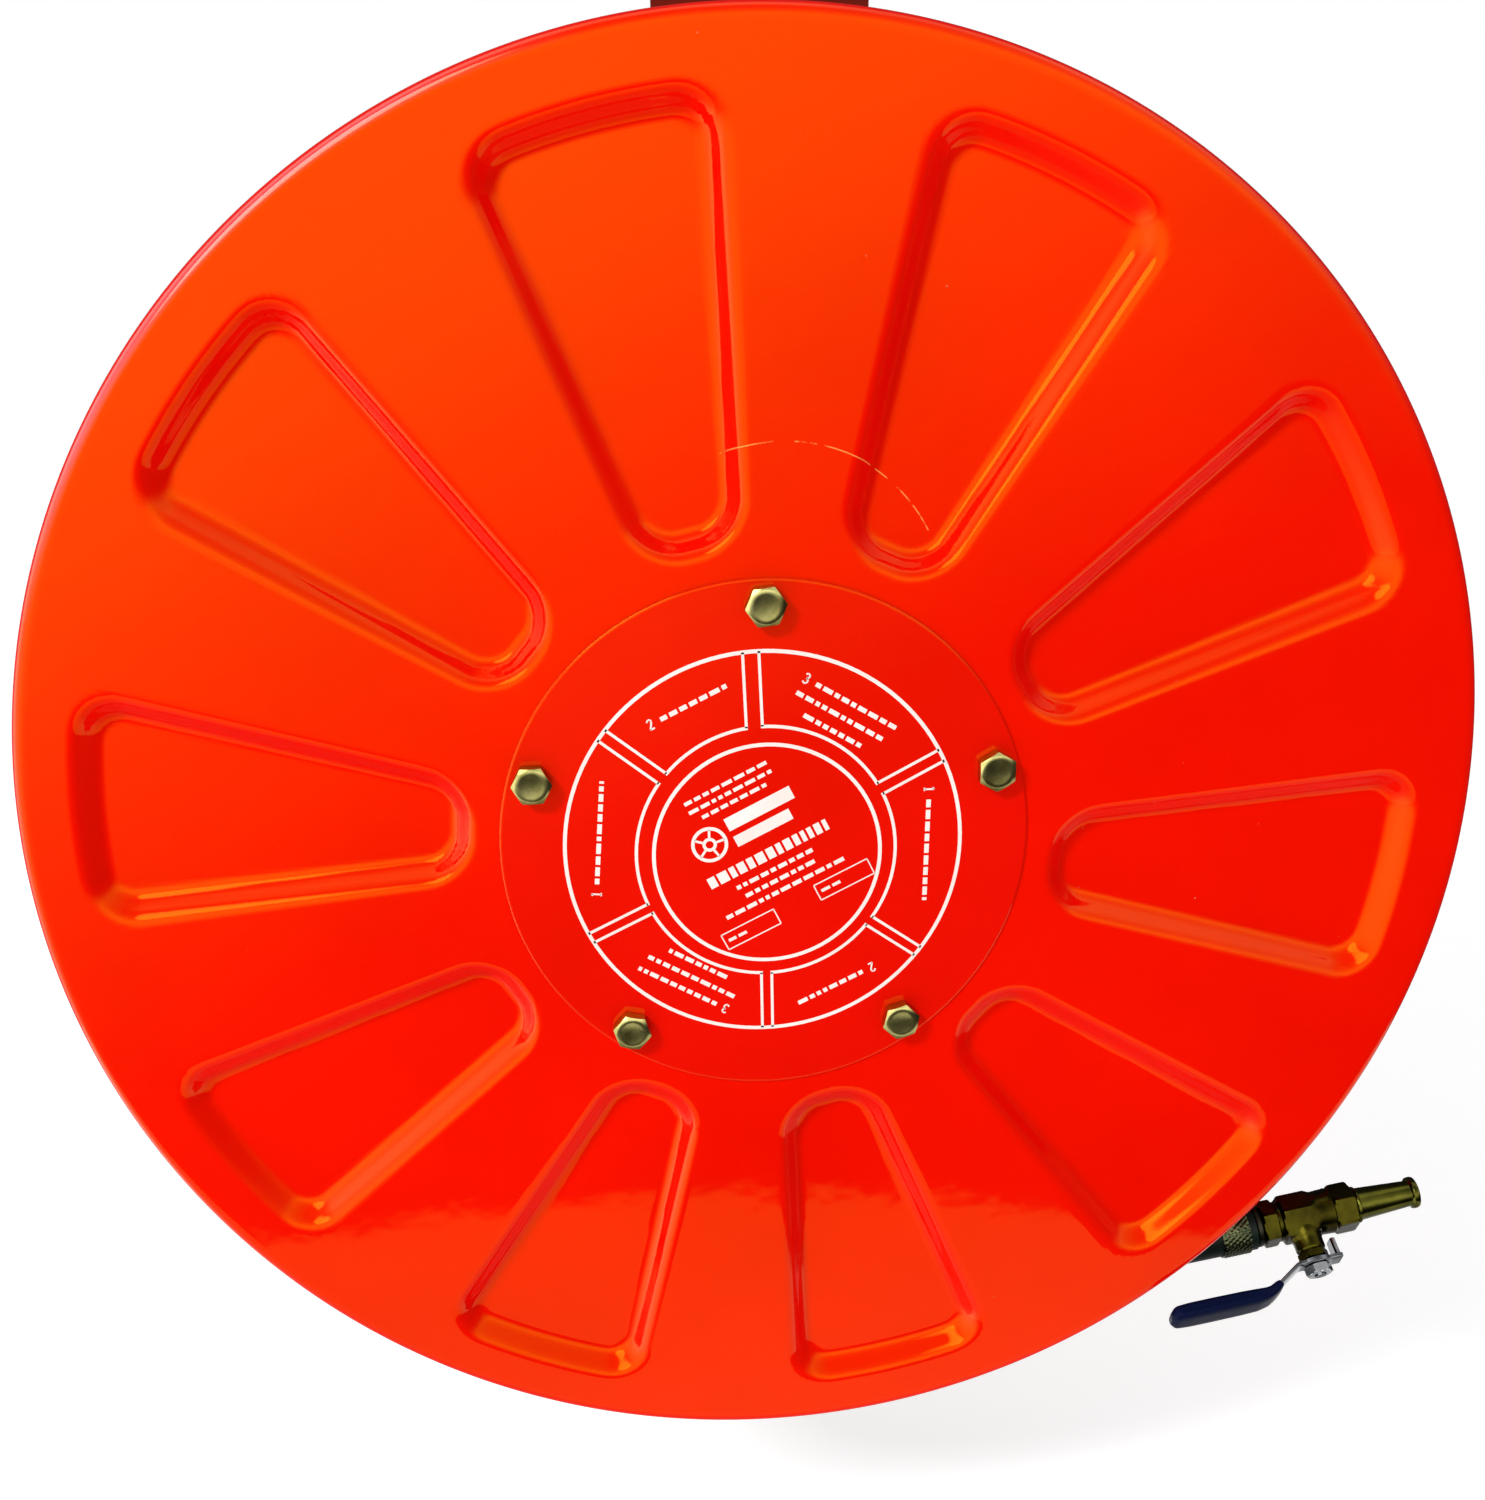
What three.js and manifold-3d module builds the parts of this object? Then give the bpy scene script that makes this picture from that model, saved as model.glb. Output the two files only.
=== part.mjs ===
// Wall-mounted fire hose reel: a bracket, a hollow fixed spindle fed through a stop
// valve, a drum of two pressed discs on a water hub, the wound hose, and a nozzle with
// its own quarter-turn valve.
// Millimetres. The wall is the plane y = 0 and the drum axis is the Y axis; the front of
// the reel looks along -Y, +X is to the right and +Z is up. Directions in the X-Z plane
// are in degrees from +X towards +Z.
import * as THREE from 'three';
import { mergeVertices } from 'three/addons/utils/BufferGeometryUtils.js';
import Module from 'manifold-3d';

const wasm = await Module();
wasm.setup();

// ---- driving dimensions ---------------------------------------------------------
const GAP = 0.3;              // clearance between separate pieces
const DISC_GAP = 0.4;         // clearance of the barrel and the hose from a disc
const DISC_R = 270;           // outside radius of a disc, rolled rim included
const RIM_R = 4.5;            // radius of the rolled rim's section
const RIM_IN = 3;             // centre of that section, inward of the rim plane
const SHEET = 2;              // disc sheet thickness
const WALL_TO_FRONT = 192;    // wall to the rim plane of the front disc
const DRUM_W = 127.6;         // rim plane to rim plane
const FACE_IN = 1.4;          // disc face, inward of its rim plane
const POCKETS = 10;           // pressed pockets per disc
const POCKET_R1 = 111.8;      // inner and outer radius at half depth
const POCKET_R2 = 245.3;
const POCKET_H1 = 16;         // half widths at those radii
const POCKET_H2 = 40.4;
const POCKET_SLOPE = 4;       // half the plan width of a pocket wall
const POCKET_WALL = 1.6;      // pocket wall thickness in plan
const POCKET_DEPTH = 9;
const POCKET_A0 = 103.1;      // direction of the first pocket
const BOLTS = 5;              // bolts per disc
const BOLT_R = 89.2;          // bolt circle radius
const BOLT_A0 = 90.2;         // direction of the first bolt
const BOLT_HOLE_R = 4.5;      // holes in the bracket, spindle and hub
const DISC_HOLE_R = 4.6;      // holes in the discs, barrel and label
const LABEL_R = 98.3;
const BARREL_R = 105.5;
const BARREL_END_T = 3;       // thickness of the barrel's end plates
const HOSE_R = 10;
const HOSE_BORE_R = 7;
const TURN_PITCH = 20.3;      // turn to turn along the drum
const TURNS = 5;              // turns side by side in a layer
const OUTER_TURN_R = 232.6;   // centre radius of the outermost layer
const INNER_TURN_R = 119.6;   // centre radius of the innermost layer
const NOZZLE_T = 204.3;       // free end's tangent point to the nozzle valve's origin
const TAIL_ANGLE = 11.44;     // rise of the free hose end
const NOZZLE_ROLL = 55;       // lean of the nozzle valve's stem towards the front
const JOURNAL_R = 18;         // spindle radius inside the hub
const WATER_Y = -100;         // plane of the water passage from spindle to hose
const HUB_OUTLET_A = -100;    // direction of the hub outlet
const INLET_Y = -34;          // vertical inlet line in front of the wall

const FRONT_Y = -WALL_TO_FRONT;            // front rim plane
const REAR_Y = FRONT_Y + DRUM_W;           // rear rim plane
const BARREL_FRONT = FRONT_Y + FACE_IN + SHEET + DISC_GAP;
const BARREL_REAR = REAR_Y - FACE_IN - SHEET - DISC_GAP;
// frontmost and rearmost turn of a layer
const TURN_Y0 = FRONT_Y + FACE_IN + SHEET + POCKET_DEPTH + DISC_GAP + TURN_PITCH / 2;
const LEAD_Y = TURN_Y0 + (TURNS - 1) * TURN_PITCH;

const rad = (degrees) => (degrees * Math.PI) / 180;
const spaced = (from, to, count) =>
  Array.from({ length: count }, (_, i) => from + ((to - from) * i) / (count - 1));

// ---- matrices ---------------------------------------------------------------------
const shift = (x, y, z) => new THREE.Matrix4().makeTranslation(x, y, z);
const turnX = (angle) => new THREE.Matrix4().makeRotationX(angle);
const turnY = (angle) => new THREE.Matrix4().makeRotationY(angle);
const turnZ = (angle) => new THREE.Matrix4().makeRotationZ(angle);
const compose = (...matrices) => matrices.reduce((a, b) => a.clone().multiply(b));
// turns the Y axis onto the named axis
const ontoAxis = (axis) =>
  ({ x: turnZ(-Math.PI / 2), y: new THREE.Matrix4(), z: turnX(Math.PI / 2) })[axis];

// ---- solid helpers ------------------------------------------------------------------
// Welds the vertices, drops collapsed triangles and turns the faces outward.
function clean(source) {
  let geometry = source.index ? source.toNonIndexed() : source;
  geometry.deleteAttribute('normal');
  geometry.deleteAttribute('uv');
  geometry = mergeVertices(geometry, 1e-4);
  const { position } = geometry.attributes;
  const vertex = (i) => new THREE.Vector3().fromBufferAttribute(position, i);
  const index = geometry.index.array;
  let triangles = [];
  let volume = 0;
  for (let i = 0; i < index.length; i += 3) {
    const [a, b, c] = index.slice(i, i + 3);
    if (a === b || b === c || a === c) continue;
    triangles.push([a, b, c]);
    volume += vertex(a).dot(vertex(b).cross(vertex(c)));
  }
  if (volume < 0) triangles = triangles.map(([a, b, c]) => [a, c, b]);
  geometry.setIndex(triangles.flat());
  return geometry;
}

function solid(source, matrix) {
  const geometry = clean(source);
  if (matrix) geometry.applyMatrix4(matrix);
  const mesh = new wasm.Mesh({
    numProp: 3,
    vertProperties: new Float32Array(geometry.attributes.position.array),
    triVerts: new Uint32Array(geometry.index.array),
  });
  mesh.merge();
  return new wasm.Manifold(mesh);
}

function indexed(positions, index) {
  const geometry = new THREE.BufferGeometry();
  geometry.setAttribute('position', new THREE.BufferAttribute(new Float32Array(positions), 3));
  geometry.setIndex(index);
  return geometry;
}

function toGeometry(manifold) {
  const mesh = manifold.getMesh();
  return indexed(mesh.vertProperties, Array.from(mesh.triVerts));
}

const move = (manifold, matrix) => solid(toGeometry(manifold), matrix);
const union = (...parts) => parts.reduce((a, b) => a.add(b));
const cut = (part, ...tools) => tools.reduce((a, b) => a.subtract(b), part);

const box = (x0, x1, y0, y1, z0, z1) => solid(
  new THREE.BoxGeometry(x1 - x0, y1 - y0, z1 - z0),
  shift((x0 + x1) / 2, (y0 + y1) / 2, (z0 + z1) / 2));

// cylinder from one place to another along an axis through the origin
function cylinder(axis, radius, from, to, segments, phase = 0) {
  const geometry = new THREE.CylinderGeometry(
    radius, radius, to - from, segments, 1, false, phase);
  return solid(geometry, compose(ontoAxis(axis), shift(0, (from + to) / 2, 0)));
}

const hexRadius = (flats) => flats / Math.sqrt(3);
// hexagonal prism, sized across flats
const hex = (axis, flats, from, to, phase = 0) =>
  cylinder(axis, hexRadius(flats), from, to, 6, phase);

// closed profile of [radius, place along the axis], turned about the axis
function lathe(profile, segments, axis = 'y') {
  const points = [...profile, profile[0]].map((p) => new THREE.Vector2(...p));
  return solid(new THREE.LatheGeometry(points, segments), ontoAxis(axis));
}

const ring = (axis, inner, outer, from, to, segments) =>
  lathe([[inner, from], [outer, from], [outer, to], [inner, to]], segments, axis);

const circle = (radius, count) => Array.from({ length: count }, (_, i) => {
  const angle = (i * 2 * Math.PI) / count;
  return new THREE.Vector2(radius * Math.cos(angle), radius * Math.sin(angle));
});

// solid round bar along a curve through the points
function tube(points, radius, steps, segments) {
  const extrudePath = new THREE.CatmullRomCurve3(points, false, 'centripetal');
  const shape = new THREE.Shape(circle(radius, segments));
  return solid(new THREE.ExtrudeGeometry(shape, { steps, bevelEnabled: false, extrudePath }));
}

// polygon of [x, z] given thickness along Y
function slab(points, y0, y1) {
  const shape = new THREE.Shape(points.map((p) => new THREE.Vector2(...p)));
  const geometry = new THREE.ExtrudeGeometry(shape, { depth: y1 - y0, bevelEnabled: false });
  return solid(geometry, compose(shift(0, y1, 0), turnX(Math.PI / 2)));
}

// holes along Y at the [x, z] places
const drill = (part, places, radius, y0, y1, segments) => cut(part, ...places.map(
  ([x, z]) => move(cylinder('y', radius, y0, y1, segments), shift(x, 0, z))));

// ---- materials and assembly -----------------------------------------------------------
const RED = { color: 0xd81408, roughness: 0.28, metalness: 0 };
const STEEL = { color: 0xb9bbb8, roughness: 0.35, metalness: 0.9 };
const BRASS = { color: 0xc29a45, roughness: 0.3, metalness: 0.9 };
const ZINC = { color: 0xa89a5a, roughness: 0.35, metalness: 0.85 };
const BLACK = { color: 0x17181a, roughness: 0.6, metalness: 0 };
const CHROME = { color: 0xd9dadb, roughness: 0.12, metalness: 1 };
const HOSE = { color: 0x141a18, roughness: 0.7, metalness: 0 };
const BLUE = { color: 0x1b55a8, roughness: 0.45, metalness: 0 };
const NYLON = { color: 0xe9e5da, roughness: 0.5, metalness: 0 };
const ALUMINIUM = { color: 0xa9acae, roughness: 0.5, metalness: 0.8 };
const GALVANISED = { color: 0x8f9496, roughness: 0.5, metalness: 0.8 };

const reel = new THREE.Group();
reel.name = 'fire_hose_reel';

function add(name, manifold, material, matrix) {
  const geometry = clean(toGeometry(manifold));
  if (matrix) geometry.applyMatrix4(matrix);
  const mesh = new THREE.Mesh(geometry, new THREE.MeshStandardMaterial(material));
  mesh.name = name;
  reel.add(mesh);
}

// ---- wall bracket -----------------------------------------------------------------------
// Flat plate with folded edges, narrower above the spindle, with a pad for the spindle
// and four fixing holes.
const PLATE_T = 5;
const PLATE_LEFT = -42;
const PLATE_LEFT_TOP = -30;     // left edge above the step
const PLATE_RIGHT = 58;
const PLATE_HALF_H = 310;
const STEP_Z = 90;
const FOLD_T = 4;
const FOLD_FRONT = -18;
const FOLD_Z = PLATE_HALF_H - 24;   // the folds stop short of the plate's ends
const FOLD_STEP_GAP = 8;            // and of its step
const PAD_FRONT = -12;
const FLANGE_BACK = PAD_FRONT - GAP;
const FLANGE_FRONT = FLANGE_BACK - 10;
const FIXING_HOLES = [[-12, 286], [40, 286], [-18, -286], [34, -286]];       // x, z
const SPINDLE_BOLTS = [[-29.5, 36], [29.5, 36], [-29.5, -32], [29.5, -32]];  // x, z

function makeBracket() {
  const fold = (x, z0, z1) => box(x, x + FOLD_T, FOLD_FRONT, -PLATE_T + 1, z0, z1);
  let plate = union(
    box(PLATE_LEFT, PLATE_RIGHT, -PLATE_T, 0, -PLATE_HALF_H, STEP_Z),
    box(PLATE_LEFT_TOP, PLATE_RIGHT, -PLATE_T, 0, STEP_Z - 1, PLATE_HALF_H),
    fold(PLATE_LEFT, -FOLD_Z, STEP_Z - FOLD_STEP_GAP),
    fold(PLATE_LEFT_TOP, STEP_Z + FOLD_STEP_GAP, FOLD_Z),
    fold(PLATE_RIGHT - FOLD_T, -FOLD_Z, FOLD_Z),
    box(-37.6, 37.6, PAD_FRONT, -PLATE_T + 1, -44, 48));
  plate = drill(plate, FIXING_HOLES, 5.5, -30, 10, 16);
  return drill(plate, SPINDLE_BOLTS, BOLT_HOLE_R, -30, -2.2, 10);
}
add('wall_bracket', makeBracket(), RED);

// ---- hollow spindle with its flange and inlet boss -----------------------------------------
const atInlet = shift(0, INLET_Y, 0);
const atWater = shift(0, WATER_Y, 0);

function makeSpindle() {
  const body = union(
    box(-37.2, 37.2, FLANGE_FRONT, FLANGE_BACK, -43, 47),
    cylinder('y', 25, -58, -21, 24),
    cylinder('y', JOURNAL_R, FRONT_Y + 5, -57, 20),
    move(cylinder('z', 20.5, -62, 0, 20), atInlet));
  const bored = cut(body,
    ring('y', JOURNAL_R - 1.3, JOURNAL_R + 2, FRONT_Y + 7.2, FRONT_Y + 9.1, 20),
    move(cylinder('z', 12, -70, 0, 16), atInlet),
    move(cylinder('z', 17.4, -70, -43.5, 20), atInlet),
    cylinder('y', 12, -106, INLET_Y + 4, 16),
    move(cylinder('z', 5.5, -30, 30, 10), atWater),
    move(cylinder('x', 5.5, -30, 30, 10), atWater));
  return drill(bored, SPINDLE_BOLTS, BOLT_HOLE_R, -30, -5, 10);
}
add('spindle', makeSpindle(), GALVANISED);

// hexagon bolt: chamfered head on the -Y side of y = 0, shank towards +Y
function bolt(length) {
  const flats = 13;
  const head = 5.5;
  const chamferY = -head * 0.8;
  return union(
    hex('y', flats, chamferY, 0),
    lathe([[0, -head], [flats * 0.43, -head], [hexRadius(flats), chamferY], [0, chamferY]], 6),
    cylinder('y', 3.95, -0.5, length, 8));
}
SPINDLE_BOLTS.forEach(([x, z], i) =>
  add(`spindle_bolt_${i + 1}`, bolt(19.5), STEEL, shift(x, FLANGE_FRONT - GAP, z)));

// ---- bushes, water seals, washers, retaining ring ---------------------------------------------
const SEAL_OFFSET = 12.3;      // seal centres either side of the water passage
const BUSH_OUTER_R = 21.7;

const bush = (y0, y1) => ring('y', JOURNAL_R + GAP, BUSH_OUTER_R, y0, y1, 20);
const washer = (outer, y0, y1) => ring('y', JOURNAL_R + 0.4, outer, y0, y1, 20);
const seal = (y) => lathe(
  circle(2.15, 6).map((p) => [JOURNAL_R + 2.7 + p.x, y + p.y]), 20);

add('rear_bush', bush(-82, -61), NYLON);
add('front_bush', bush(FRONT_Y + 14, FRONT_Y + 34), NYLON);
add('rear_seal', seal(WATER_Y + SEAL_OFFSET), BLACK);
add('front_seal', seal(WATER_Y - SEAL_OFFSET), BLACK);
add('rear_thrust_washer', washer(24.5, -60.3, -58.3), BRASS);
add('front_thrust_washer', washer(27, FRONT_Y + 9.3, FRONT_Y + 11.6), BRASS);
add('retaining_ring', cut(
  ring('y', JOURNAL_R - 1, 21.5, FRONT_Y + 7.5, FRONT_Y + 8.9, 20),
  box(-4, 4, FRONT_Y, FRONT_Y + 20, 10, 30)), STEEL);

// ---- water hub ----------------------------------------------------------------------------------
const discBolts = Array.from({ length: BOLTS }, (_, i) => {     // x, z
  const angle = rad(BOLT_A0 - (360 / BOLTS) * i);
  return [BOLT_R * Math.cos(angle), BOLT_R * Math.sin(angle)];
});

function makeHub() {
  const front = FRONT_Y + 12;
  const rear = -60.6;
  const flangeRear = BARREL_REAR - BARREL_END_T - GAP;
  const ontoOutlet = compose(atWater, turnY(-rad(HUB_OUTLET_A)));  // +X to the outlet
  const sealGroove = (y) => cylinder('y', 23.5, y - 2.7, y + 2.7, 20);
  const body = union(
    lathe([[0, front], [30, front], [30, rear], [0, rear]], 24),
    cylinder('y', 98, flangeRear - 5.4, flangeRear, 28),
    move(cylinder('x', 14, 15, 44, 14), ontoOutlet));
  const bored = cut(body,
    cylinder('y', 22.2, -84, -50, 20),
    cylinder('y', JOURNAL_R + 0.9, FRONT_Y, -50, 20),
    sealGroove(WATER_Y + SEAL_OFFSET),
    cylinder('y', 24.2, WATER_Y - 7, WATER_Y + 7, 20),
    sealGroove(WATER_Y - SEAL_OFFSET),
    cylinder('y', 22.2, FRONT_Y, -117.6, 20),
    move(cylinder('x', 6, 15, 50, 10), ontoOutlet),
    move(cylinder('x', 10.1, 32, 50, 12), ontoOutlet));
  return drill(bored, discBolts, BOLT_HOLE_R, -90, -60, 8);
}
add('water_hub', makeHub(), ALUMINIUM);

// ---- lead-in from the hub to the innermost layer --------------------------------------------------
const LEAD_R = 75;             // radius of the lead-in arc
const LEAD_BLEND = 100;        // arc angle over which it moves to the rearmost turn

// point of the arc at an angle before it joins the innermost layer
function leadPoint(degrees) {
  const angle = rad(-degrees);
  const blend = THREE.MathUtils.clamp((LEAD_BLEND - degrees) / LEAD_BLEND, 0, 1);
  return new THREE.Vector3(
    INNER_TURN_R - LEAD_R + LEAD_R * Math.cos(angle),
    WATER_Y + (LEAD_Y - WATER_Y) * blend * blend * (3 - 2 * blend),
    LEAD_R * Math.sin(angle));
}
const leadPoints = (from, to, count) => spaced(from, to, count).map(leadPoint);

const outletPoint = (radius) => new THREE.Vector3(
  Math.cos(rad(HUB_OUTLET_A)) * radius, WATER_Y, Math.sin(rad(HUB_OUTLET_A)) * radius);

function makeOutletBend() {
  const handle = 11;
  const leadStart = leadPoint(121.5);
  const leadDir = leadPoint(120).sub(leadPoint(123)).normalize();
  const bend = new THREE.CubicBezierCurve3(
    outletPoint(46),
    outletPoint(46 + handle),
    leadStart.clone().sub(leadDir.multiplyScalar(handle)),
    leadStart).getPoints(6);
  const outer = union(
    tube([outletPoint(32.4), ...bend], 9.4, 8, 12),
    tube(leadPoints(123, 104, 6), 6.6, 4, 12));
  const borePath = [outletPoint(30.4), ...bend.slice(0, -1), ...leadPoints(121.5, 101, 6)];
  return cut(outer, tube(borePath, 4.8, 12, 8));
}
add('drum_outlet_bend', makeOutletBend(), BRASS);

// band with a square lug, made along X
function makeClamp() {
  const inner = HOSE_R + 1;
  return cut(
    union(ring('x', inner, HOSE_R + 2.3, -4, 4, 18), box(-4.5, 4.5, -4, 4, 11.4, 16.5)),
    cylinder('x', inner, -9, 9, 18));
}

function clampPlace() {
  const centre = leadPoint(112.5);
  const along = leadPoint(111.5).sub(centre).normalize();
  const turn = new THREE.Quaternion().setFromUnitVectors(new THREE.Vector3(1, 0, 0), along);
  return compose(shift(...centre), new THREE.Matrix4().makeRotationFromQuaternion(turn));
}
add('drum_hose_clamp', makeClamp(), STEEL, clampPlace());

// ---- barrel between the discs ------------------------------------------------------------------------
function makeBarrel() {
  const holeR = 76;
  const wallR = BARREL_R - 2;
  const innerFront = BARREL_FRONT + BARREL_END_T;
  const innerRear = BARREL_REAR - BARREL_END_T;
  const shell = lathe([
    [BARREL_R, BARREL_FRONT], [BARREL_R, BARREL_REAR], [holeR, BARREL_REAR],
    [holeR, innerRear], [wallR, innerRear], [wallR, innerFront],
    [holeR, innerFront], [holeR, BARREL_FRONT],
  ], 40);
  const nuts = discBolts.map(([x, z]) =>
    move(hex('y', 14, BARREL_FRONT + 2, BARREL_FRONT + 10), shift(x, 0, z)));
  let barrel = union(shell, ...nuts);
  barrel = drill(barrel, discBolts, DISC_HOLE_R, BARREL_FRONT - 2, BARREL_FRONT + 14, 8);
  barrel = drill(barrel, discBolts, DISC_HOLE_R, BARREL_REAR - 6, BARREL_REAR + 4, 8);
  return cut(barrel, tube(leadPoints(100, -12, 12), HOSE_R + 2.2, 9, 10));
}
add('drum_barrel', makeBarrel(), RED);

// ---- discs ---------------------------------------------------------------------------------------------
// Outline of a pocket as [x, z] with its length along +X, grown by an amount in the disc
// plane; the outer edge bulges at its middle.
function pocketOutline(growth, cornerR) {
  const taper = (POCKET_H2 - POCKET_H1) / (POCKET_R2 - POCKET_R1);
  const halfWidth = (radius) =>
    POCKET_H1 + taper * (radius - POCKET_R1) + growth * Math.sqrt(1 + taper * taper);
  const innerR = POCKET_R1 - growth;
  const outerR = POCKET_R2 + growth;
  const edgeR = outerR - 3.2;
  const corners = [
    [innerR, -halfWidth(innerR)], [edgeR, -halfWidth(outerR)],
    [edgeR, halfWidth(outerR)], [innerR, halfWidth(innerR)],
  ].map((p) => new THREE.Vector2(...p));
  const points = [];
  corners.forEach((corner, i) => {
    const toPrevious = corners[(i + 3) % 4].clone().sub(corner).normalize();
    const toNext = corners[(i + 1) % 4].clone().sub(corner).normalize();
    const angle = Math.acos(toPrevious.dot(toNext));
    const centre = toPrevious.clone().add(toNext)
      .setLength(cornerR / Math.sin(angle / 2)).add(corner);
    const start = toPrevious.clone()
      .multiplyScalar(cornerR / Math.tan(angle / 2)).add(corner).sub(centre);
    const startAngle = Math.atan2(start.y, start.x);
    for (let j = 0; j <= 2; j++) {
      const at = startAngle + ((Math.PI - angle) * j) / 2;
      points.push([centre.x + cornerR * Math.cos(at), centre.y + cornerR * Math.sin(at)]);
    }
    if (i === 1) points.push([outerR, 0]);
  });
  return points;
}

// closed solid between two outlines of the same count, at y0 and y1
function frustum(outline0, y0, outline1, y1) {
  const count = outline0.length;
  const positions = [
    ...outline0.flatMap(([x, z]) => [x, y0, z]),
    ...outline1.flatMap(([x, z]) => [x, y1, z]),
  ];
  const index = [];
  for (let i = 0; i < count; i++) {
    const j = (i + 1) % count;
    index.push(i, j, count + j, i, count + j, count + i);
  }
  const cap = (outline) => THREE.ShapeUtils.triangulateShape(
    outline.map((p) => new THREE.Vector2(...p)), []);
  for (const [a, b, c] of cap(outline0)) index.push(c, b, a);
  for (const [a, b, c] of cap(outline1)) index.push(count + a, count + b, count + c);
  return solid(indexed(positions, index));
}

// front disc in its own frame: rim plane y = 0, +Y towards the hose
function makeDisc() {
  const holeR = 30.5;
  const rim = spaced(200.8, 535, 9).map((degrees) => [
    DISC_R - RIM_R + RIM_R * Math.cos(rad(degrees)),
    RIM_IN + RIM_R * Math.sin(rad(degrees)),
  ]);
  let disc = lathe([[holeR, FACE_IN], ...rim, [holeR, FACE_IN + SHEET]], 48);

  // both frustums start off the face, so their first outlines follow the wall's slope
  const slope = (2 * POCKET_SLOPE) / POCKET_DEPTH;
  const shell = frustum(
    pocketOutline(POCKET_SLOPE + POCKET_WALL - 0.5 * slope, 15), FACE_IN + 0.5,
    pocketOutline(-POCKET_SLOPE + POCKET_WALL, 9), FACE_IN + SHEET + POCKET_DEPTH);
  const hollow = frustum(
    pocketOutline(POCKET_SLOPE + slope, 15), FACE_IN - 1,
    pocketOutline(-POCKET_SLOPE, 8), FACE_IN + POCKET_DEPTH);
  const turns = Array.from({ length: POCKETS }, (_, i) =>
    turnY(-rad(POCKET_A0 - (360 / POCKETS) * i)));
  disc = union(disc, ...turns.map((turn) => move(shell, turn)));
  disc = cut(disc, ...turns.map((turn) => move(hollow, turn)));
  return drill(disc, discBolts, DISC_HOLE_R, -10, 20, 8);
}
const disc = makeDisc();
const mirrored = toGeometry(disc).applyMatrix4(new THREE.Matrix4().makeScale(1, -1, 1));
add('front_disc', disc, RED, shift(0, FRONT_Y, 0));
add('rear_disc', solid(mirrored), RED, shift(0, REAR_Y, 0));

// ---- label plate and disc bolts ----------------------------------------------------------------------------
const label = cylinder('y', LABEL_R, FRONT_Y + GAP, FRONT_Y + FACE_IN - GAP, 48);
add('label_plate', drill(label, discBolts, DISC_HOLE_R, FRONT_Y - 5, FRONT_Y + 5, 8), RED);
// each bolt head is left at a different angle, in radians
discBolts.forEach(([x, z], i) => add(`front_bolt_${i + 1}`, bolt(16), ZINC,
  compose(shift(x, FRONT_Y, z), turnY(i * 0.7))));
discBolts.forEach(([x, z], i) => add(`rear_bolt_${i + 1}`, bolt(14), ZINC,
  compose(shift(x, REAR_Y - FACE_IN + GAP, z), turnX(Math.PI), turnY(i * 0.5))));

// ---- hose: wound pack, lead-in and free end --------------------------------------------------------------------
const HOSE_END = NOZZLE_T - 28.4;
const tailCos = Math.cos(rad(TAIL_ANGLE));
const tailSin = Math.sin(rad(TAIL_ANGLE));
const tailDir = new THREE.Vector3(tailCos, 0, tailSin);     // along the free end
const tailOut = new THREE.Vector3(tailSin, 0, -tailCos);    // away from the drum axis
// point on the free end's centre line, measured from its tangent point
const tailPoint = (distance) => new THREE.Vector3(0, TURN_Y0, 0)
  .addScaledVector(tailDir, distance).addScaledVector(tailOut, OUTER_TURN_R);

function makeHose() {
  const inner = INNER_TURN_R - HOSE_R - 1.6;
  const front = TURN_Y0 - HOSE_R;
  const rear = LEAD_Y + HOSE_R;
  const chamfer = 3;
  const profile = [[inner, front + chamfer], [inner + chamfer, front]];
  for (let i = 0; i < TURNS; i++) {
    const angles = [-40, 0, 40];
    if (i === 0) angles.unshift(-90);
    if (i === TURNS - 1) angles.push(90);
    for (const angle of angles) {
      profile.push([
        OUTER_TURN_R + HOSE_R * Math.cos(rad(angle)),
        TURN_Y0 + i * TURN_PITCH + HOSE_R * Math.sin(rad(angle)),
      ]);
    }
  }
  profile.push([inner + chamfer, rear], [inner, rear - chamfer]);
  const hose = union(
    lathe(profile, 40),
    tube(spaced(-20, HOSE_END, 6).map(tailPoint), HOSE_R, 1, 16),
    tube(leadPoints(120, -4, 14), HOSE_R, 10, 12));
  return cut(hose,
    tube([-26, -12, 4].map((offset) => tailPoint(HOSE_END + offset)), HOSE_BORE_R, 1, 14),
    tube(leadPoints(125, 100, 6), HOSE_BORE_R, 4, 12));
}
add('hose', makeHose(), HOSE);

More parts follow.
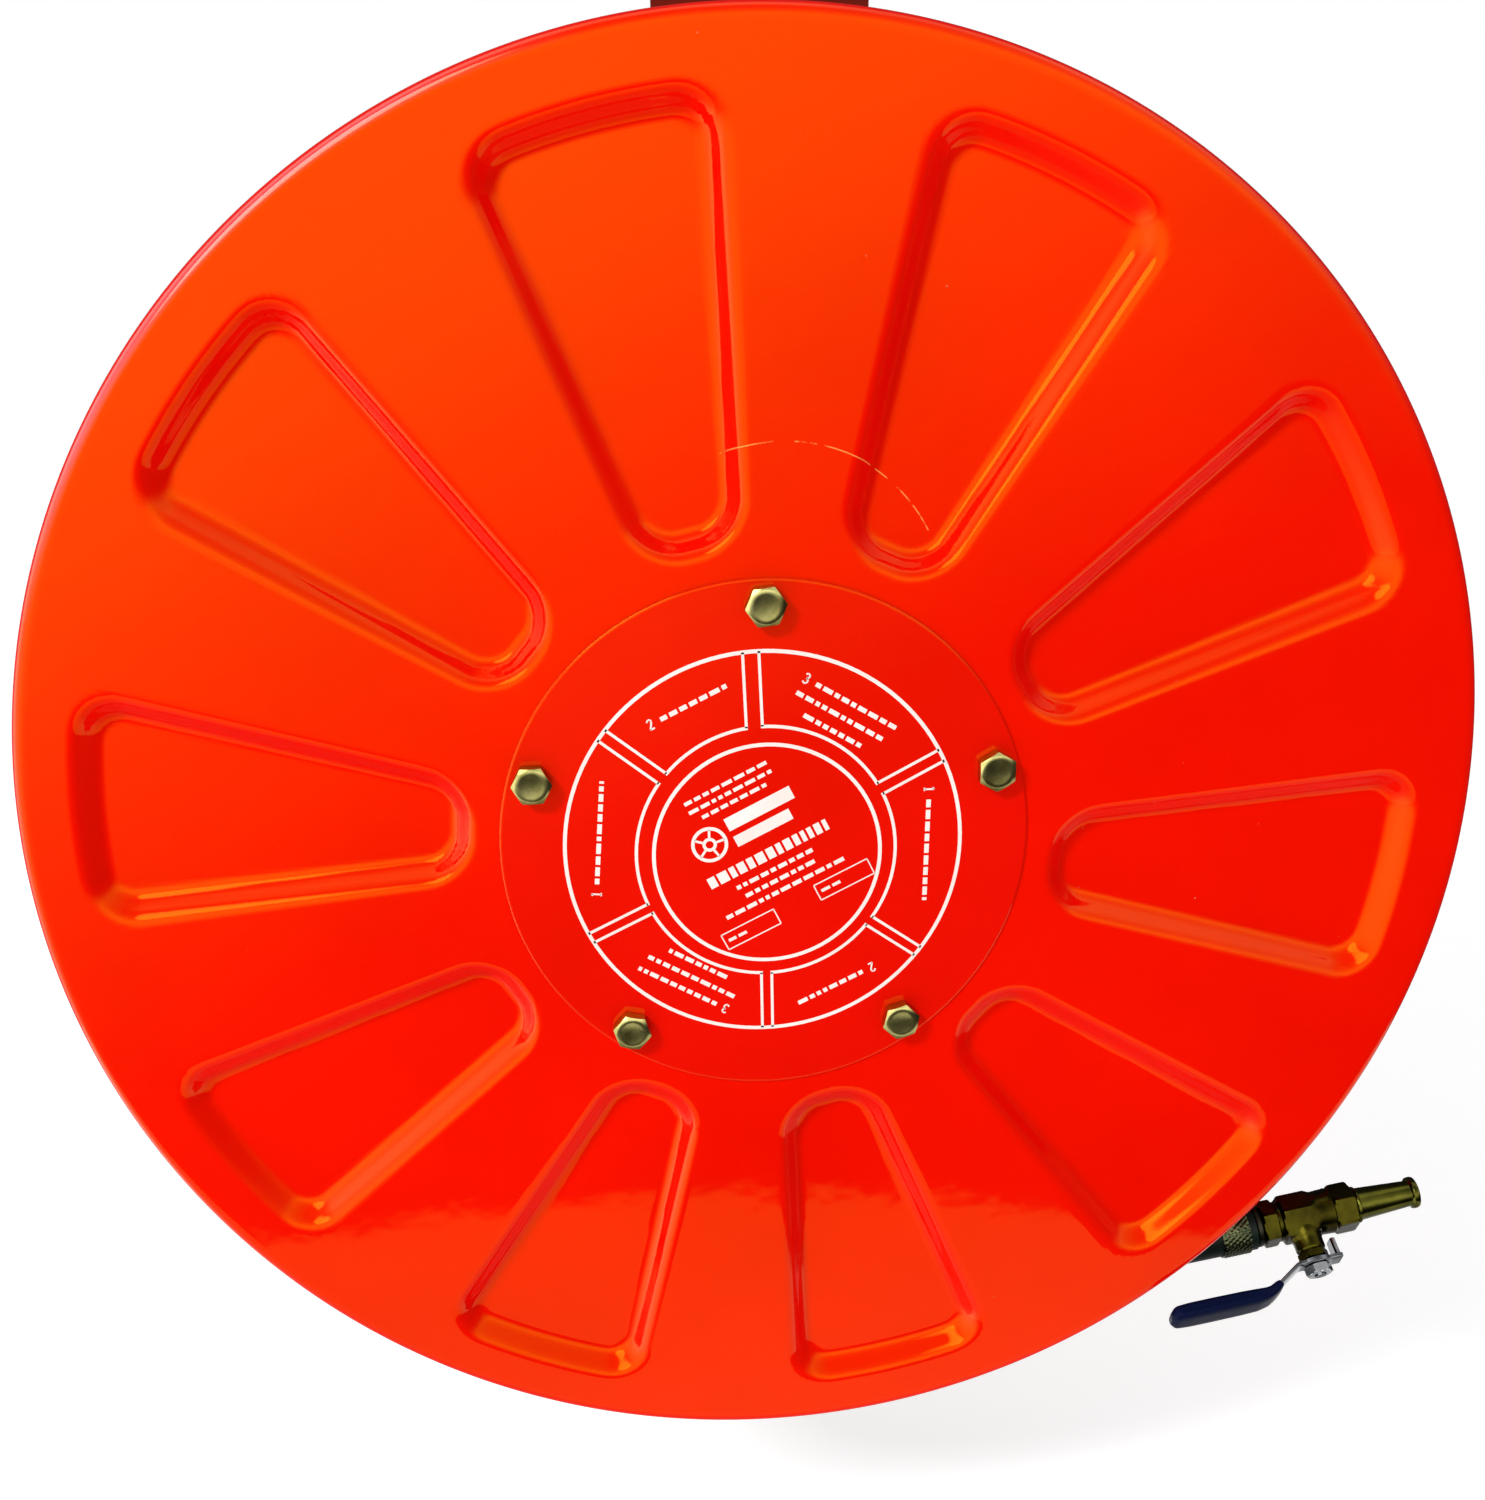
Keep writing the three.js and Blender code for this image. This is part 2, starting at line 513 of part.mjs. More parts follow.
// ---- quarter-turn ball valve ------------------------------------------------------------------------------------
// Own frame at unit size: pipe along X, stem along +Z, end piece on the -X side, lever
// towards -X when leverTurn is 0.
//   flats, roundR, socketR   body's hexagon across flats, round part, pipe sockets
//   core                     size factor of the ball and its seats
//   stemX, jointX            stem, and joint of body and end piece, along the body
//   handleZ, crankRun, reach lever handle's height, run of its crank, its length
function ballValve(prefix, place, size) {
  const { scale, flats, roundR, socketR, core, stemX, jointX } = size;
  const { handleZ, crankRun, reach, leverTurn } = size;
  const atBody = compose(place, new THREE.Matrix4().makeScale(scale, scale, scale));
  const atStem = compose(atBody, shift(stemX, 0, 0));
  const atLever = compose(atStem, turnZ(leverTurn));     // these pieces turn with the lever
  const stemR = 3.2;
  const stemHoleR = 3.6;

  const body = cut(
    union(
      hex('x', flats, jointX, -1.5), hex('x', flats, 7, 17),
      cylinder('x', roundR, -2, 8, 18),
      move(cylinder('z', 6.3, 0, 16.4, 14), shift(stemX, 0, 0))),
    cylinder('x', 10.3 * core, jointX - 1.3, stemX + 8.6 * core, 16),
    cylinder('x', 6.5 * core, stemX + 6, 13, 12),
    cylinder('x', socketR, 11.5, 19, 16),
    move(cylinder('z', stemHoleR, 6, 13, 10), shift(stemX, 0, 0)),
    move(cylinder('z', 5, 12, 17, 10), shift(stemX, 0, 0)));
  add(`${prefix}_body`, body, BRASS, atBody);

  const endPiece = cut(
    union(
      hex('x', flats - 1, -25, jointX - 0.3),
      cylinder('x', 9.7 * core, jointX - 0.4, stemX - 8.9 * core, 16)),
    cylinder('x', 6.5 * core, -30, -5, 12),
    cylinder('x', socketR, -27, -19.5, 16));
  add(`${prefix}_end_piece`, endPiece, BRASS, atBody);

  const seat = (outer, from, to) =>
    ring('x', 7.4 * core, outer * core, from * core, to * core, 16);
  add(`${prefix}_seat_1`, seat(9.8, 6.6, 8.25), NYLON, atStem);
  add(`${prefix}_seat_2`, seat(9.4, -8.5, -6.6), NYLON, atStem);

  const ballR = 9.5 * core;
  const slotZ = 7.5 * core;            // floor of the stem's slot in the ball
  const ball = cut(
    solid(new THREE.SphereGeometry(ballR, 16, 10), turnX(Math.PI / 2)),
    cylinder('x', 6.4 * core, -12, 12, 12),
    box(-12, 12, -1.7, 1.7, slotZ, 12));
  add(`${prefix}_ball`, ball, CHROME, atLever);

  const stemZ = ballR + 0.4;           // underside of the round stem
  const stem = union(
    box(-2.8, 2.8, -1.35, 1.35, slotZ + 0.35, stemZ + 0.5),
    cylinder('z', stemR, stemZ, 20.4, 10),
    cylinder('z', stemR, 20, 23, 10).intersect(box(-5, 5, -2.2, 2.2, 19, 24)),
    cylinder('z', 2.45, 22.5, 28, 10));
  add(`${prefix}_stem`, stem, STEEL, atLever);

  const glandNut = cut(
    union(hex('z', 11.5, 16.8, 20.2), cylinder('z', 4.5, 13, 17, 10)),
    cylinder('z', stemHoleR, 10, 22, 10));
  add(`${prefix}_gland_nut`, glandNut, BRASS, atStem);

  // cranked flat lever as [x, z], 2 thick
  const leverLow = 20.9;
  const leverTop = 22.9;
  const crankX = -8 - crankRun;        // handle end of the crank
  const arm = [
    [8.6, leverLow], [8.6, leverTop], [-8.4, leverTop], [crankX + 0.4, handleZ + 1],
    [-reach, handleZ + 1], [-reach, handleZ - 1], [crankX - 0.4, handleZ - 1],
    [-7.6, leverLow],
  ];
  const flatHole = cylinder('z', stemHoleR, 18, 25, 10)
    .intersect(box(-5, 5, -2.6, 2.6, 18, 25));
  const lever = union(
    slab(arm, -5.5, 5.5),
    cylinder('z', 7.4, leverLow, leverTop, 14),
    box(7.6, 9.3, -3.2, 3.2, 17.2, leverTop));
  add(`${prefix}_lever`, cut(lever, flatHole), STEEL, atLever);

  const leverNut = cut(hex('z', 10.4, 23.2, 27.4), cylinder('z', 2.8, 20, 30, 10));
  add(`${prefix}_lever_nut`, leverNut, CHROME, atLever);

  // grip sleeve, starting partway down the crank, less a clearance shape round the lever
  const gripX = crankX + 4.5;
  const gripZ = handleZ - 4.5 * ((handleZ - 21.9) / crankRun);
  const wall = 2.4;
  const tip = -reach - 2.6;
  const sleeve = [
    [gripX, gripZ + 1 + wall], [crankX + 0.6, handleZ + 1 + wall],
    [tip, handleZ + 1 + wall], [tip, handleZ - 1 - wall],
    [crankX - 0.6 - wall * 0.3, handleZ - 1 - wall],
    [gripX - wall * 0.9, gripZ - 1 - wall],
  ];
  const leverSpace = [
    [8, 20.5], [8, 23.3], [-8.4, 23.3], [crankX + 0.4, handleZ + 1.35],
    [-reach - 0.4, handleZ + 1.35], [-reach - 0.4, handleZ - 1.35],
    [crankX - 0.5, handleZ - 1.35], [-7.6, 20.5],
  ];
  const grip = cut(slab(sleeve, -8, 8), slab(leverSpace, -5.85, 5.85));
  add(`${prefix}_grip`, grip, BLUE, atLever);
}

// ---- nozzle valve on the free hose end, lever lying back along the hose (open) -------------------------------------
const nozzlePlace = compose(
  shift(...tailPoint(NOZZLE_T)),
  new THREE.Matrix4().makeBasis(tailDir, tailOut.clone().cross(tailDir), tailOut),
  turnX(-rad(NOZZLE_ROLL)));
ballValve('nozzle_valve', nozzlePlace, {
  scale: 1, flats: 19.4, roundR: 9.9, socketR: 7.2, core: 0.8, stemX: -7, jointX: -16.2,
  handleZ: 32.5, crankRun: 17, reach: 65, leverTurn: 0,
});

// hose tail, ferrule round the hose, and jet, in the valve's frame
const hoseTail = cut(
  union(
    cylinder('x', 6.8, -26, -19.9, 16),
    hex('x', 17.4, -28, -25.4, Math.PI / 6),
    cylinder('x', 6.6, -52, -27.9, 16)),
  cylinder('x', 4.6, -60, -10, 12));
add('hose_tail', hoseTail, BRASS, nozzlePlace);
add('hose_ferrule', ring('x', HOSE_R + 0.35, HOSE_R + 1.25, -31.5, -44, 18), BRASS, nozzlePlace);
const JET_PROFILE = [          // radius, x
  [4.9, 12.2], [6.8, 12.2], [6.8, 17.4], [7.7, 17.4], [7.7, 18.6], [7.3, 19.4], [5.75, 42.2],
  [7.0, 42.6], [7.0, 45], [6.6, 45.4], [4.2, 45.4], [3.1, 43.4], [3.1, 38], [4.9, 20],
];
add('jet_nozzle', lathe(JET_PROFILE, 18, 'x'), BRASS, nozzlePlace);

// ---- inlet line: riser pipe and stop valve (closed) ----------------------------------------------------------------
const STOP_Z = -312;
const STOP_SCALE = 1.75;
const riser = ring('z', 13.5, 16.85, STOP_Z + 12.5 * STOP_SCALE, -44, 24);
add('inlet_riser', move(riser, atInlet), GALVANISED);
// pipe upright, stem towards the front
const stopPlace = compose(shift(0, INLET_Y, STOP_Z), new THREE.Matrix4().makeBasis(
  new THREE.Vector3(0, 0, 1), new THREE.Vector3(-1, 0, 0), new THREE.Vector3(0, -1, 0)));
ballValve('stop_valve', stopPlace, {
  scale: STOP_SCALE, flats: 23.6, roundR: 12.4, socketR: 9.85, core: 1, stemX: 0,
  jointX: -14.7, handleZ: 32, crankRun: 10.1, reach: 66, leverTurn: Math.PI / 2,
});

export default reel;
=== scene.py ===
import bpy, math
import numpy as np
from mathutils import Matrix, Vector


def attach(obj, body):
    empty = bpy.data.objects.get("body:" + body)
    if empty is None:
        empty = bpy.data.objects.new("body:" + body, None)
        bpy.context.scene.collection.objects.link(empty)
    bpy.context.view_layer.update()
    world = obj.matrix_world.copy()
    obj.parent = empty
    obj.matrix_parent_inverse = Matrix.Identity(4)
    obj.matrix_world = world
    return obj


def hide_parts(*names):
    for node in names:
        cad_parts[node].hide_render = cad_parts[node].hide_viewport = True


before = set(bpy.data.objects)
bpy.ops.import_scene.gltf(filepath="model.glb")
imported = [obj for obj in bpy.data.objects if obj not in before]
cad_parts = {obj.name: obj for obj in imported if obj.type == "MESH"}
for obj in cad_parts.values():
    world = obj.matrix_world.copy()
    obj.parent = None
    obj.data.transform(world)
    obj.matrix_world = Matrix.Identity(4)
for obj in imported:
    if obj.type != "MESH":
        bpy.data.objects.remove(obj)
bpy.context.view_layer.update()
MM = 0.001

# ---- sizes shared with the CAD, in mm --------------------------------------------
YF, YR = -192.0, -64.4
DISC_R, RIM_R = 270.0, 4.5
BOLT_R, BOLT_A0 = 89.2, 90.2
POCKET_A0 = 103.1
TURN_PITCH, TURNS = 20.3, 5
TURN_Y0 = YF + 12.8 + TURN_PITCH / 2
OUTER_R, INNER_R = 232.6, 119.6
TAIL = math.radians(11.44)
TD = np.array([math.cos(TAIL), 0, math.sin(TAIL)])
TO = np.array([math.sin(TAIL), 0, -math.cos(TAIL)])
NOZZLE_T = 204.3
HOSE_END = NOZZLE_T - 28.4
rng = np.random.default_rng(7)


# ---- mesh helpers -----------------------------------------------------------------
def mesh_obj(name, verts, faces, smooth=True, sharp=None):
    me = bpy.data.meshes.new(name)
    me.from_pydata([tuple(v) for v in np.asarray(verts, float)], [], [tuple(int(i) for i in f) for f in faces])
    me.update()
    if smooth:
        me.polygons.foreach_set("use_smooth", [True] * len(me.polygons))
    o = bpy.data.objects.new(name, me)
    bpy.context.scene.collection.objects.link(o)
    if sharp is not None:
        me.set_sharp_from_angle(angle=math.radians(sharp))
    return o


def grid_faces(nu, nv, close_u=False, close_v=False):
    iu = np.arange(nu if close_u else nu - 1)
    iv = np.arange(nv if close_v else nv - 1)
    U, V = np.meshgrid(iu, iv, indexing="ij")
    U, V = U.ravel(), V.ravel()
    U1, V1 = (U + 1) % nu, (V + 1) % nv
    return np.stack([U * nv + V, U1 * nv + V, U1 * nv + V1, U * nv + V1], 1)


def outward(verts, faces):
    """Turns all faces over if the closed mesh has a negative volume."""
    v = np.asarray(verts, float)
    vol = 0.0
    for f in faces:
        a = v[f[0]]
        for i in range(1, len(f) - 1):
            vol += np.dot(a, np.cross(v[f[i]], v[f[i + 1]]))
        
    if vol < 0:
        faces = [list(f)[::-1] for f in faces]
    return faces


def join_parts(parts):
    vs, fs, off = [], [], 0
    for v, f in parts:
        vs.append(np.asarray(v, float))
        fs += [[int(i) + off for i in q] for q in f]
        off += len(v)
    return np.concatenate(vs), fs


def xf(M, v):
    v = np.asarray(v, float)
    M = np.asarray(M, float)
    return v @ M[:3, :3].T + M[:3, 3]


def round_profile(p, r, n=4):
    """Rounds the corners of a closed polygon by radius r (scalar or one per corner)."""
    p = [np.array(q, float) for q in p]
    out = []
    rs = r if hasattr(r, "__len__") else [r] * len(p)
    for i, c in enumerate(p):
        a, b = p[i - 1], p[(i + 1) % len(p)]
        u, w = a - c, b - c
        lu, lw = np.linalg.norm(u), np.linalg.norm(w)
        rr = rs[i]
        if rr <= 0 or lu < 1e-6 or lw < 1e-6:
            out.append(c)
            continue
        u, w = u / lu, w / lw
        ang = math.acos(max(-1, min(1, float(u @ w))))
        if ang > math.radians(176):
            out.append(c)
            continue
        t = min(rr / math.tan(ang / 2), 0.45 * lu, 0.45 * lw)
        A, B = c + u * t, c + w * t
        for j in range(n + 1):
            s = j / n
            out.append((1 - s) ** 2 * A + 2 * s * (1 - s) * c + s * s * B)
    return out


def lathe_x(profile, seg=64, rfun=None):
    """Closed profile of (x, r) turned about X. rfun(theta, r, x) may change the radius."""
    p = np.array(profile, float)
    th = np.linspace(0, 2 * math.pi, seg, endpoint=False)
    v = np.zeros((len(p), seg, 3))
    for i, (x, r) in enumerate(p):
        rr = np.array([rfun(t, r, x) if rfun else r for t in th])
        v[i, :, 0] = x
        v[i, :, 1] = rr * np.cos(th)
        v[i, :, 2] = rr * np.sin(th)
    f = grid_faces(len(p), seg, close_u=True, close_v=True)
    v = v.reshape(-1, 3)
    return v, outward(v, f.tolist())


def hexlim(af, phase=0.0):
    """Radius limit of a hexagon of width af across its flats."""
    def lim(t):
        a = (t + phase) % (math.pi / 3) - math.pi / 6
        return af / 2 / math.cos(a)
    return lim


def hex_x(af, bore, x0, x1, phase=0.0, seg=144, cham=0.12, rnd=0.35):
    """Hexagon prism along X with turned 30 degree chamfers on both ends and a bore."""
    R = af / math.sqrt(3)
    lim = hexlim(af, phase)
    rc = af / 2 * (1 - 0.02)
    def body(t, r, x):
        return min(r, lim(t)) if r > bore + 0.01 else r
    dx = (R - rc) * 0.5774
    prof = [(x0, bore), (x0, rc - 0.4), (x0 + 0.06, rc), (x0 + dx * 0.5, (R + rc) / 2), (x0 + dx, R), (x0 + dx + 0.25, R + 1),
            (x1 - dx - 0.25, R + 1), (x1 - dx, R), (x1 - dx * 0.5, (R + rc) / 2), (x1 - 0.06, rc), (x1, rc - 0.4), (x1, bore)]
    v, f = lathe_x(prof, seg, body)
    return v, f


def tube_mesh(points, radius, seg=14, up=(0, 1, 0), cap=True, hollow=0.0):
    """Tube along a polyline; radius may be one value or one per point."""
    P = np.asarray(points, float)
    n = len(P)
    T = np.gradient(P, axis=0)
    T /= np.linalg.norm(T, axis=1)[:, None]
    U = np.array(up, float)
    B = np.cross(T, U)
    B /= np.linalg.norm(B, axis=1)[:, None]
    N = np.cross(B, T)
    r = np.full(n, radius) if np.isscalar(radius) else np.asarray(radius, float)
    th = np.linspace(0, 2 * math.pi, seg, endpoint=False)
    v = P[:, None, :] + r[:, None, None] * (np.cos(th)[None, :, None] * N[:, None, :] + np.sin(th)[None, :, None] * B[:, None, :])
    f = grid_faces(n, seg, close_v=True).tolist()
    v = v.reshape(-1, 3)
    if cap:
        f.append(list(range(seg)))
        f.append([(n - 1) * seg + i for i in range(seg)][::-1])
    return v, outward(v, f)


def strip_sweep(path, wid, thk, n=60, seg=32, power=5.0, smooth_k=2):
    """Flat bar swept along a path in X-Z: wide in Y, thin across the path, edges rounded."""
    path = np.array(path, float)
    d = np.concatenate([[0], np.cumsum(np.linalg.norm(np.diff(path, axis=0), axis=1))])
    tt = np.linspace(0, d[-1], n)
    px = np.interp(tt, d, path[:, 0]); pz = np.interp(tt, d, path[:, 1])
    ww = np.interp(tt, d, wid) if hasattr(wid, "__len__") else np.full(n, float(wid))
    hh = np.interp(tt, d, thk) if hasattr(thk, "__len__") else np.full(n, float(thk))
    for _ in range(smooth_k):
        for q in (px, pz, ww, hh):
            q[1:-1] = (q[:-2] + 2 * q[1:-1] + q[2:]) / 4
    T = np.stack([np.gradient(px), np.gradient(pz)], 1)
    T /= np.linalg.norm(T, axis=1)[:, None]
    Nn = np.stack([-T[:, 1], T[:, 0]], 1)
    th = np.linspace(0, 2 * math.pi, seg, endpoint=False)
    c, s_ = np.cos(th), np.sin(th)
    rad = (np.abs(c) ** power + np.abs(s_) ** power) ** (-1 / power)
    cy, sy = c * rad, s_ * rad
    g = np.zeros((n, seg, 3))
    for i in range(n):
        e = min(ww[i], hh[i])
        g[i, :, 0] = px[i] + Nn[i, 0] * hh[i] * sy
        g[i, :, 1] = ww[i] * cy
        g[i, :, 2] = pz[i] + Nn[i, 1] * hh[i] * sy
    f = grid_faces(n, seg, close_v=True).tolist()
    # ends closed with a small inset ring and a centre fan
    verts = g.reshape(-1, 3).tolist()
    for row, sgn in ((0, -1), (n - 1, 1)):
        cen = g[row].mean(0)
        ins = cen + (g[row] - cen) * 0.86
        off = np.array([T[row][0], 0, T[row][1]]) * sgn * hh[row] * 0.25
        k0 = len(verts)
        verts += (ins + off).tolist()
        verts.append((cen + off).tolist())
        for i in range(seg):
            j = (i + 1) % seg
            a_, b_ = row * seg + i, row * seg + j
            q = [a_, b_, k0 + j, k0 + i]
            t = [k0 + i, k0 + j, k0 + seg]
            if sgn > 0:
                f.append(q); f.append(t)
            else:
                f.append(q[::-1]); f.append(t[::-1])
    v = np.array(verts)
    return v, outward(v, f)


# ---- materials ---------------------------------------------------------------------
def new_mat(name):
    m = bpy.data.materials.new(name)
    m.use_nodes = True
    nt = m.node_tree
    b = nt.nodes["Principled BSDF"]
    return m, nt, b


def tex(nt, kind, scale, detail=4.0, rough=0.55, coord="Object", vec_scale=None):
    tc = nt.nodes.new("ShaderNodeTexCoord")
    mp = nt.nodes.new("ShaderNodeMapping")
    nt.links.new(tc.outputs[coord], mp.inputs["Vector"])
    if vec_scale:
        mp.inputs["Scale"].default_value = vec_scale
    t = nt.nodes.new("ShaderNodeTexNoise" if kind == "noise" else "ShaderNodeTexVoronoi")
    t.inputs["Scale"].default_value = scale
    if kind == "noise":
        t.inputs["Detail"].default_value = detail
        t.inputs["Roughness"].default_value = rough
    nt.links.new(mp.outputs["Vector"], t.inputs["Vector"])
    return t


def ramp(nt, src, stops):
    r = nt.nodes.new("ShaderNodeValToRGB")
    e = r.color_ramp.elements
    while len(e) < len(stops):
        e.new(0.5)
    for el, (p, c) in zip(e, stops):
        el.position = p
        el.color = (*c, 1) if len(c) == 3 else c
    nt.links.new(src, r.inputs["Fac"])
    return r.outputs["Color"]


def mix(nt, fac, a, b, mode="MIX"):
    m = nt.nodes.new("ShaderNodeMix")
    m.data_type = "RGBA"
    m.blend_type = mode
    if isinstance(fac, (int, float)):
        m.inputs[0].default_value = fac
    else:
        nt.links.new(fac, m.inputs[0])
    for sock, val in ((m.inputs[6], a), (m.inputs[7], b)):
        if isinstance(val, tuple):
            sock.default_value = (*val, 1) if len(val) == 3 else val
        else:
            nt.links.new(val, sock)
    return m.outputs[2]


def bump(nt, b, height, strength, dist=0.0005):
    bp = nt.nodes.new("ShaderNodeBump")
    bp.inputs["Strength"].default_value = strength
    bp.inputs["Distance"].default_value = dist
    nt.links.new(height, bp.inputs["Height"])
    nt.links.new(bp.outputs["Normal"], b.inputs["Normal"])
    return bp


def enamel(name, base, dark, tint, rough=0.10, flecks=True, rim=False):
    m, nt, b = new_mat(name)
    n1 = tex(nt, "noise", 9, 3)
    col = mix(nt, ramp(nt, n1.outputs["Fac"], [(0.35, (0, 0, 0)), (0.7, (1, 1, 1))]), base, dark)
    if flecks:
        v = tex(nt, "noise", 420, 1.5, 0.5)
        fl = ramp(nt, v.outputs["Fac"], [(0.775, (0, 0, 0)), (0.80, (1, 1, 1))])
        n2 = tex(nt, "noise", 14, 2)
        area = ramp(nt, n2.outputs["Fac"], [(0.55, (0, 0, 0)), (0.68, (1, 1, 1))])
        fmask = mix(nt, 1.0, fl, area, "MULTIPLY")
        col = mix(nt, fmask, col, (0.55, 0.16, 0.10))
    if rim:
        # faint circular scratch above the plate
        tcs = nt.nodes.new("ShaderNodeTexCoord")
        dv = nt.nodes.new("ShaderNodeVectorMath"); dv.operation = "DISTANCE"
        nt.links.new(tcs.outputs["Object"], dv.inputs[0])
        dv.inputs[1].default_value = (0.006, -0.191, 0.083)
        cm = nt.nodes.new("ShaderNodeMath"); cm.operation = "COMPARE"
        nt.links.new(dv.outputs["Value"], cm.inputs[0])
        cm.inputs[1].default_value = 0.0600
        cm.inputs[2].default_value = 0.00022
        sx_ = nt.nodes.new("ShaderNodeSeparateXYZ")
        nt.links.new(tcs.outputs["Object"], sx_.inputs[0])
        gz = nt.nodes.new("ShaderNodeMath"); gz.operation = "GREATER_THAN"
        nt.links.new(sx_.outputs["Z"], gz.inputs[0]); gz.inputs[1].default_value = 0.112
        gx = nt.nodes.new("ShaderNodeMath"); gx.operation = "GREATER_THAN"
        nt.links.new(sx_.outputs["X"], gx.inputs[0]); gx.inputs[1].default_value = -0.016
        mm = nt.nodes.new("ShaderNodeMath"); mm.operation = "MULTIPLY"
        nt.links.new(gz.outputs[0], mm.inputs[0]); nt.links.new(gx.outputs[0], mm.inputs[1])
        nb = tex(nt, "noise", 160, 2)
        brk = ramp(nt, nb.outputs["Fac"], [(0.42, (0, 0, 0)), (0.5, (1, 1, 1))])
        m3 = nt.nodes.new("ShaderNodeMath"); m3.operation = "MULTIPLY"
        nt.links.new(cm.outputs[0], m3.inputs[0]); nt.links.new(mm.outputs[0], m3.inputs[1])
        m4 = nt.nodes.new("ShaderNodeMath"); m4.operation = "MULTIPLY"
        nt.links.new(m3.outputs[0], m4.inputs[0]); nt.links.new(brk, m4.inputs[1])
        col = mix(nt, m4.outputs[0], col, (0.85, 0.22, 0.05))
    nt.links.new(col, b.inputs["Base Color"])
    r = tex(nt, "noise", 40, 5)
    rr = nt.nodes.new("ShaderNodeMapRange")
    nt.links.new(r.outputs["Fac"], rr.inputs["Value"])
    rr.inputs["To Min"].default_value = rough * 0.7
    rr.inputs["To Max"].default_value = rough * 1.5
    nt.links.new(rr.outputs["Result"], b.inputs["Roughness"])
    b.inputs["IOR"].default_value = 1.5
    b.inputs["Specular IOR Level"].default_value = 0.5
    b.inputs["Specular Tint"].default_value = (*tint, 1)
    if rim:
        # painted highlight: a narrow band of the rolled bead, on its upper-left arc only where the highlight falls,
        # gets a near-white specular tint and a raised reflection level; the broad faces keep the orange sheen
        tc = nt.nodes.new("ShaderNodeTexCoord")
        sp = nt.nodes.new("ShaderNodeSeparateXYZ")
        nt.links.new(tc.outputs["Object"], sp.inputs[0])
        cb = nt.nodes.new("ShaderNodeCombineXYZ")
        nt.links.new(sp.outputs["X"], cb.inputs["X"]); nt.links.new(sp.outputs["Z"], cb.inputs["Y"])
        ln = nt.nodes.new("ShaderNodeVectorMath"); ln.operation = "LENGTH"
        nt.links.new(cb.outputs[0], ln.inputs[0])
        mr = nt.nodes.new("ShaderNodeMapRange")
        nt.links.new(ln.outputs["Value"], mr.inputs["Value"])
        mr.inputs["From Min"].default_value = 0.2656
        mr.inputs["From Max"].default_value = 0.2674
        dd = nt.nodes.new("ShaderNodeVectorMath"); dd.operation = "DOT_PRODUCT"
        nt.links.new(tc.outputs["Object"], dd.inputs[0])
        dd.inputs[1].default_value = (-0.66, 0.0, 0.75)
        # limits the painted highlight to the upper-left arc of the bead
        m2 = nt.nodes.new("ShaderNodeMapRange")
        nt.links.new(dd.outputs["Value"], m2.inputs["Value"])
        m2.inputs["From Min"].default_value = 0.232
        m2.inputs["From Max"].default_value = 0.258
        mo = nt.nodes.new("ShaderNodeMapRange")
        nt.links.new(ln.outputs["Value"], mo.inputs["Value"])
        mo.inputs["From Min"].default_value = 0.2688
        mo.inputs["From Max"].default_value = 0.2692
        mo.inputs["To Min"].default_value = 1.0
        mo.inputs["To Max"].default_value = 0.0
        mb = nt.nodes.new("ShaderNodeMath"); mb.operation = "MULTIPLY"
        nt.links.new(mr.outputs["Result"], mb.inputs[0]); nt.links.new(mo.outputs["Result"], mb.inputs[1])
        bead_painted_highlight_mask = nt.nodes.new("ShaderNodeMath"); bead_painted_highlight_mask.operation = "MULTIPLY"
        nt.links.new(mb.outputs[0], bead_painted_highlight_mask.inputs[0]); nt.links.new(m2.outputs["Result"], bead_painted_highlight_mask.inputs[1])
        nt.links.new(mix(nt, bead_painted_highlight_mask.outputs[0], tint, (1.0, 0.86, 0.82)), b.inputs["Specular Tint"])
        lv_ = nt.nodes.new("ShaderNodeMapRange")
        nt.links.new(bead_painted_highlight_mask.outputs[0], lv_.inputs["Value"])
        lv_.inputs["To Min"].default_value = 0.5
        lv_.inputs["To Max"].default_value = 1.0
        nt.links.new(lv_.outputs["Result"], b.inputs["Specular IOR Level"])
    peel = tex(nt, "noise", 55, 2, 0.4)
    bump(nt, b, peel.outputs["Fac"], 0.06, 0.0012)
    return m


def metal(name, base, dark, rough=0.25, grain=(1, 1, 1), patch=60, metallic=1.0, bstr=0.15, spec=None):
    m, nt, b = new_mat(name)
    n1 = tex(nt, "noise", patch, 5, 0.6)
    col = mix(nt, ramp(nt, n1.outputs["Fac"], [(0.35, (0, 0, 0)), (0.68, (1, 1, 1))]), base, dark)
    nt.links.new(col, b.inputs["Base Color"])
    b.inputs["Metallic"].default_value = metallic
    n2 = tex(nt, "noise", 220, 3, 0.6, vec_scale=grain)
    rr = nt.nodes.new("ShaderNodeMapRange")
    nt.links.new(n2.outputs["Fac"], rr.inputs["Value"])
    rr.inputs["To Min"].default_value = rough * 0.65
    rr.inputs["To Max"].default_value = rough * 1.5
    nt.links.new(rr.outputs["Result"], b.inputs["Roughness"])
    bump(nt, b, n2.outputs["Fac"], bstr, 0.0002)
    return m


def soft(name, base, dark, rough=0.6, scale=30, fine=900, bstr=0.25, bdist=0.0003, spec=0.4):
    m, nt, b = new_mat(name)
    n1 = tex(nt, "noise", scale, 5, 0.6)
    col = mix(nt, ramp(nt, n1.outputs["Fac"], [(0.3, (0, 0, 0)), (0.75, (1, 1, 1))]), base, dark)
    nt.links.new(col, b.inputs["Base Color"])
    b.inputs["Specular IOR Level"].default_value = spec
    n2 = tex(nt, "noise", fine, 2)
    rr = nt.nodes.new("ShaderNodeMapRange")
    nt.links.new(n2.outputs["Fac"], rr.inputs["Value"])
    rr.inputs["To Min"].default_value = rough * 0.8
    rr.inputs["To Max"].default_value = min(1.0, rough * 1.25)
    nt.links.new(rr.outputs["Result"], b.inputs["Roughness"])
    bump(nt, b, n2.outputs["Fac"], bstr, bdist)
    return m


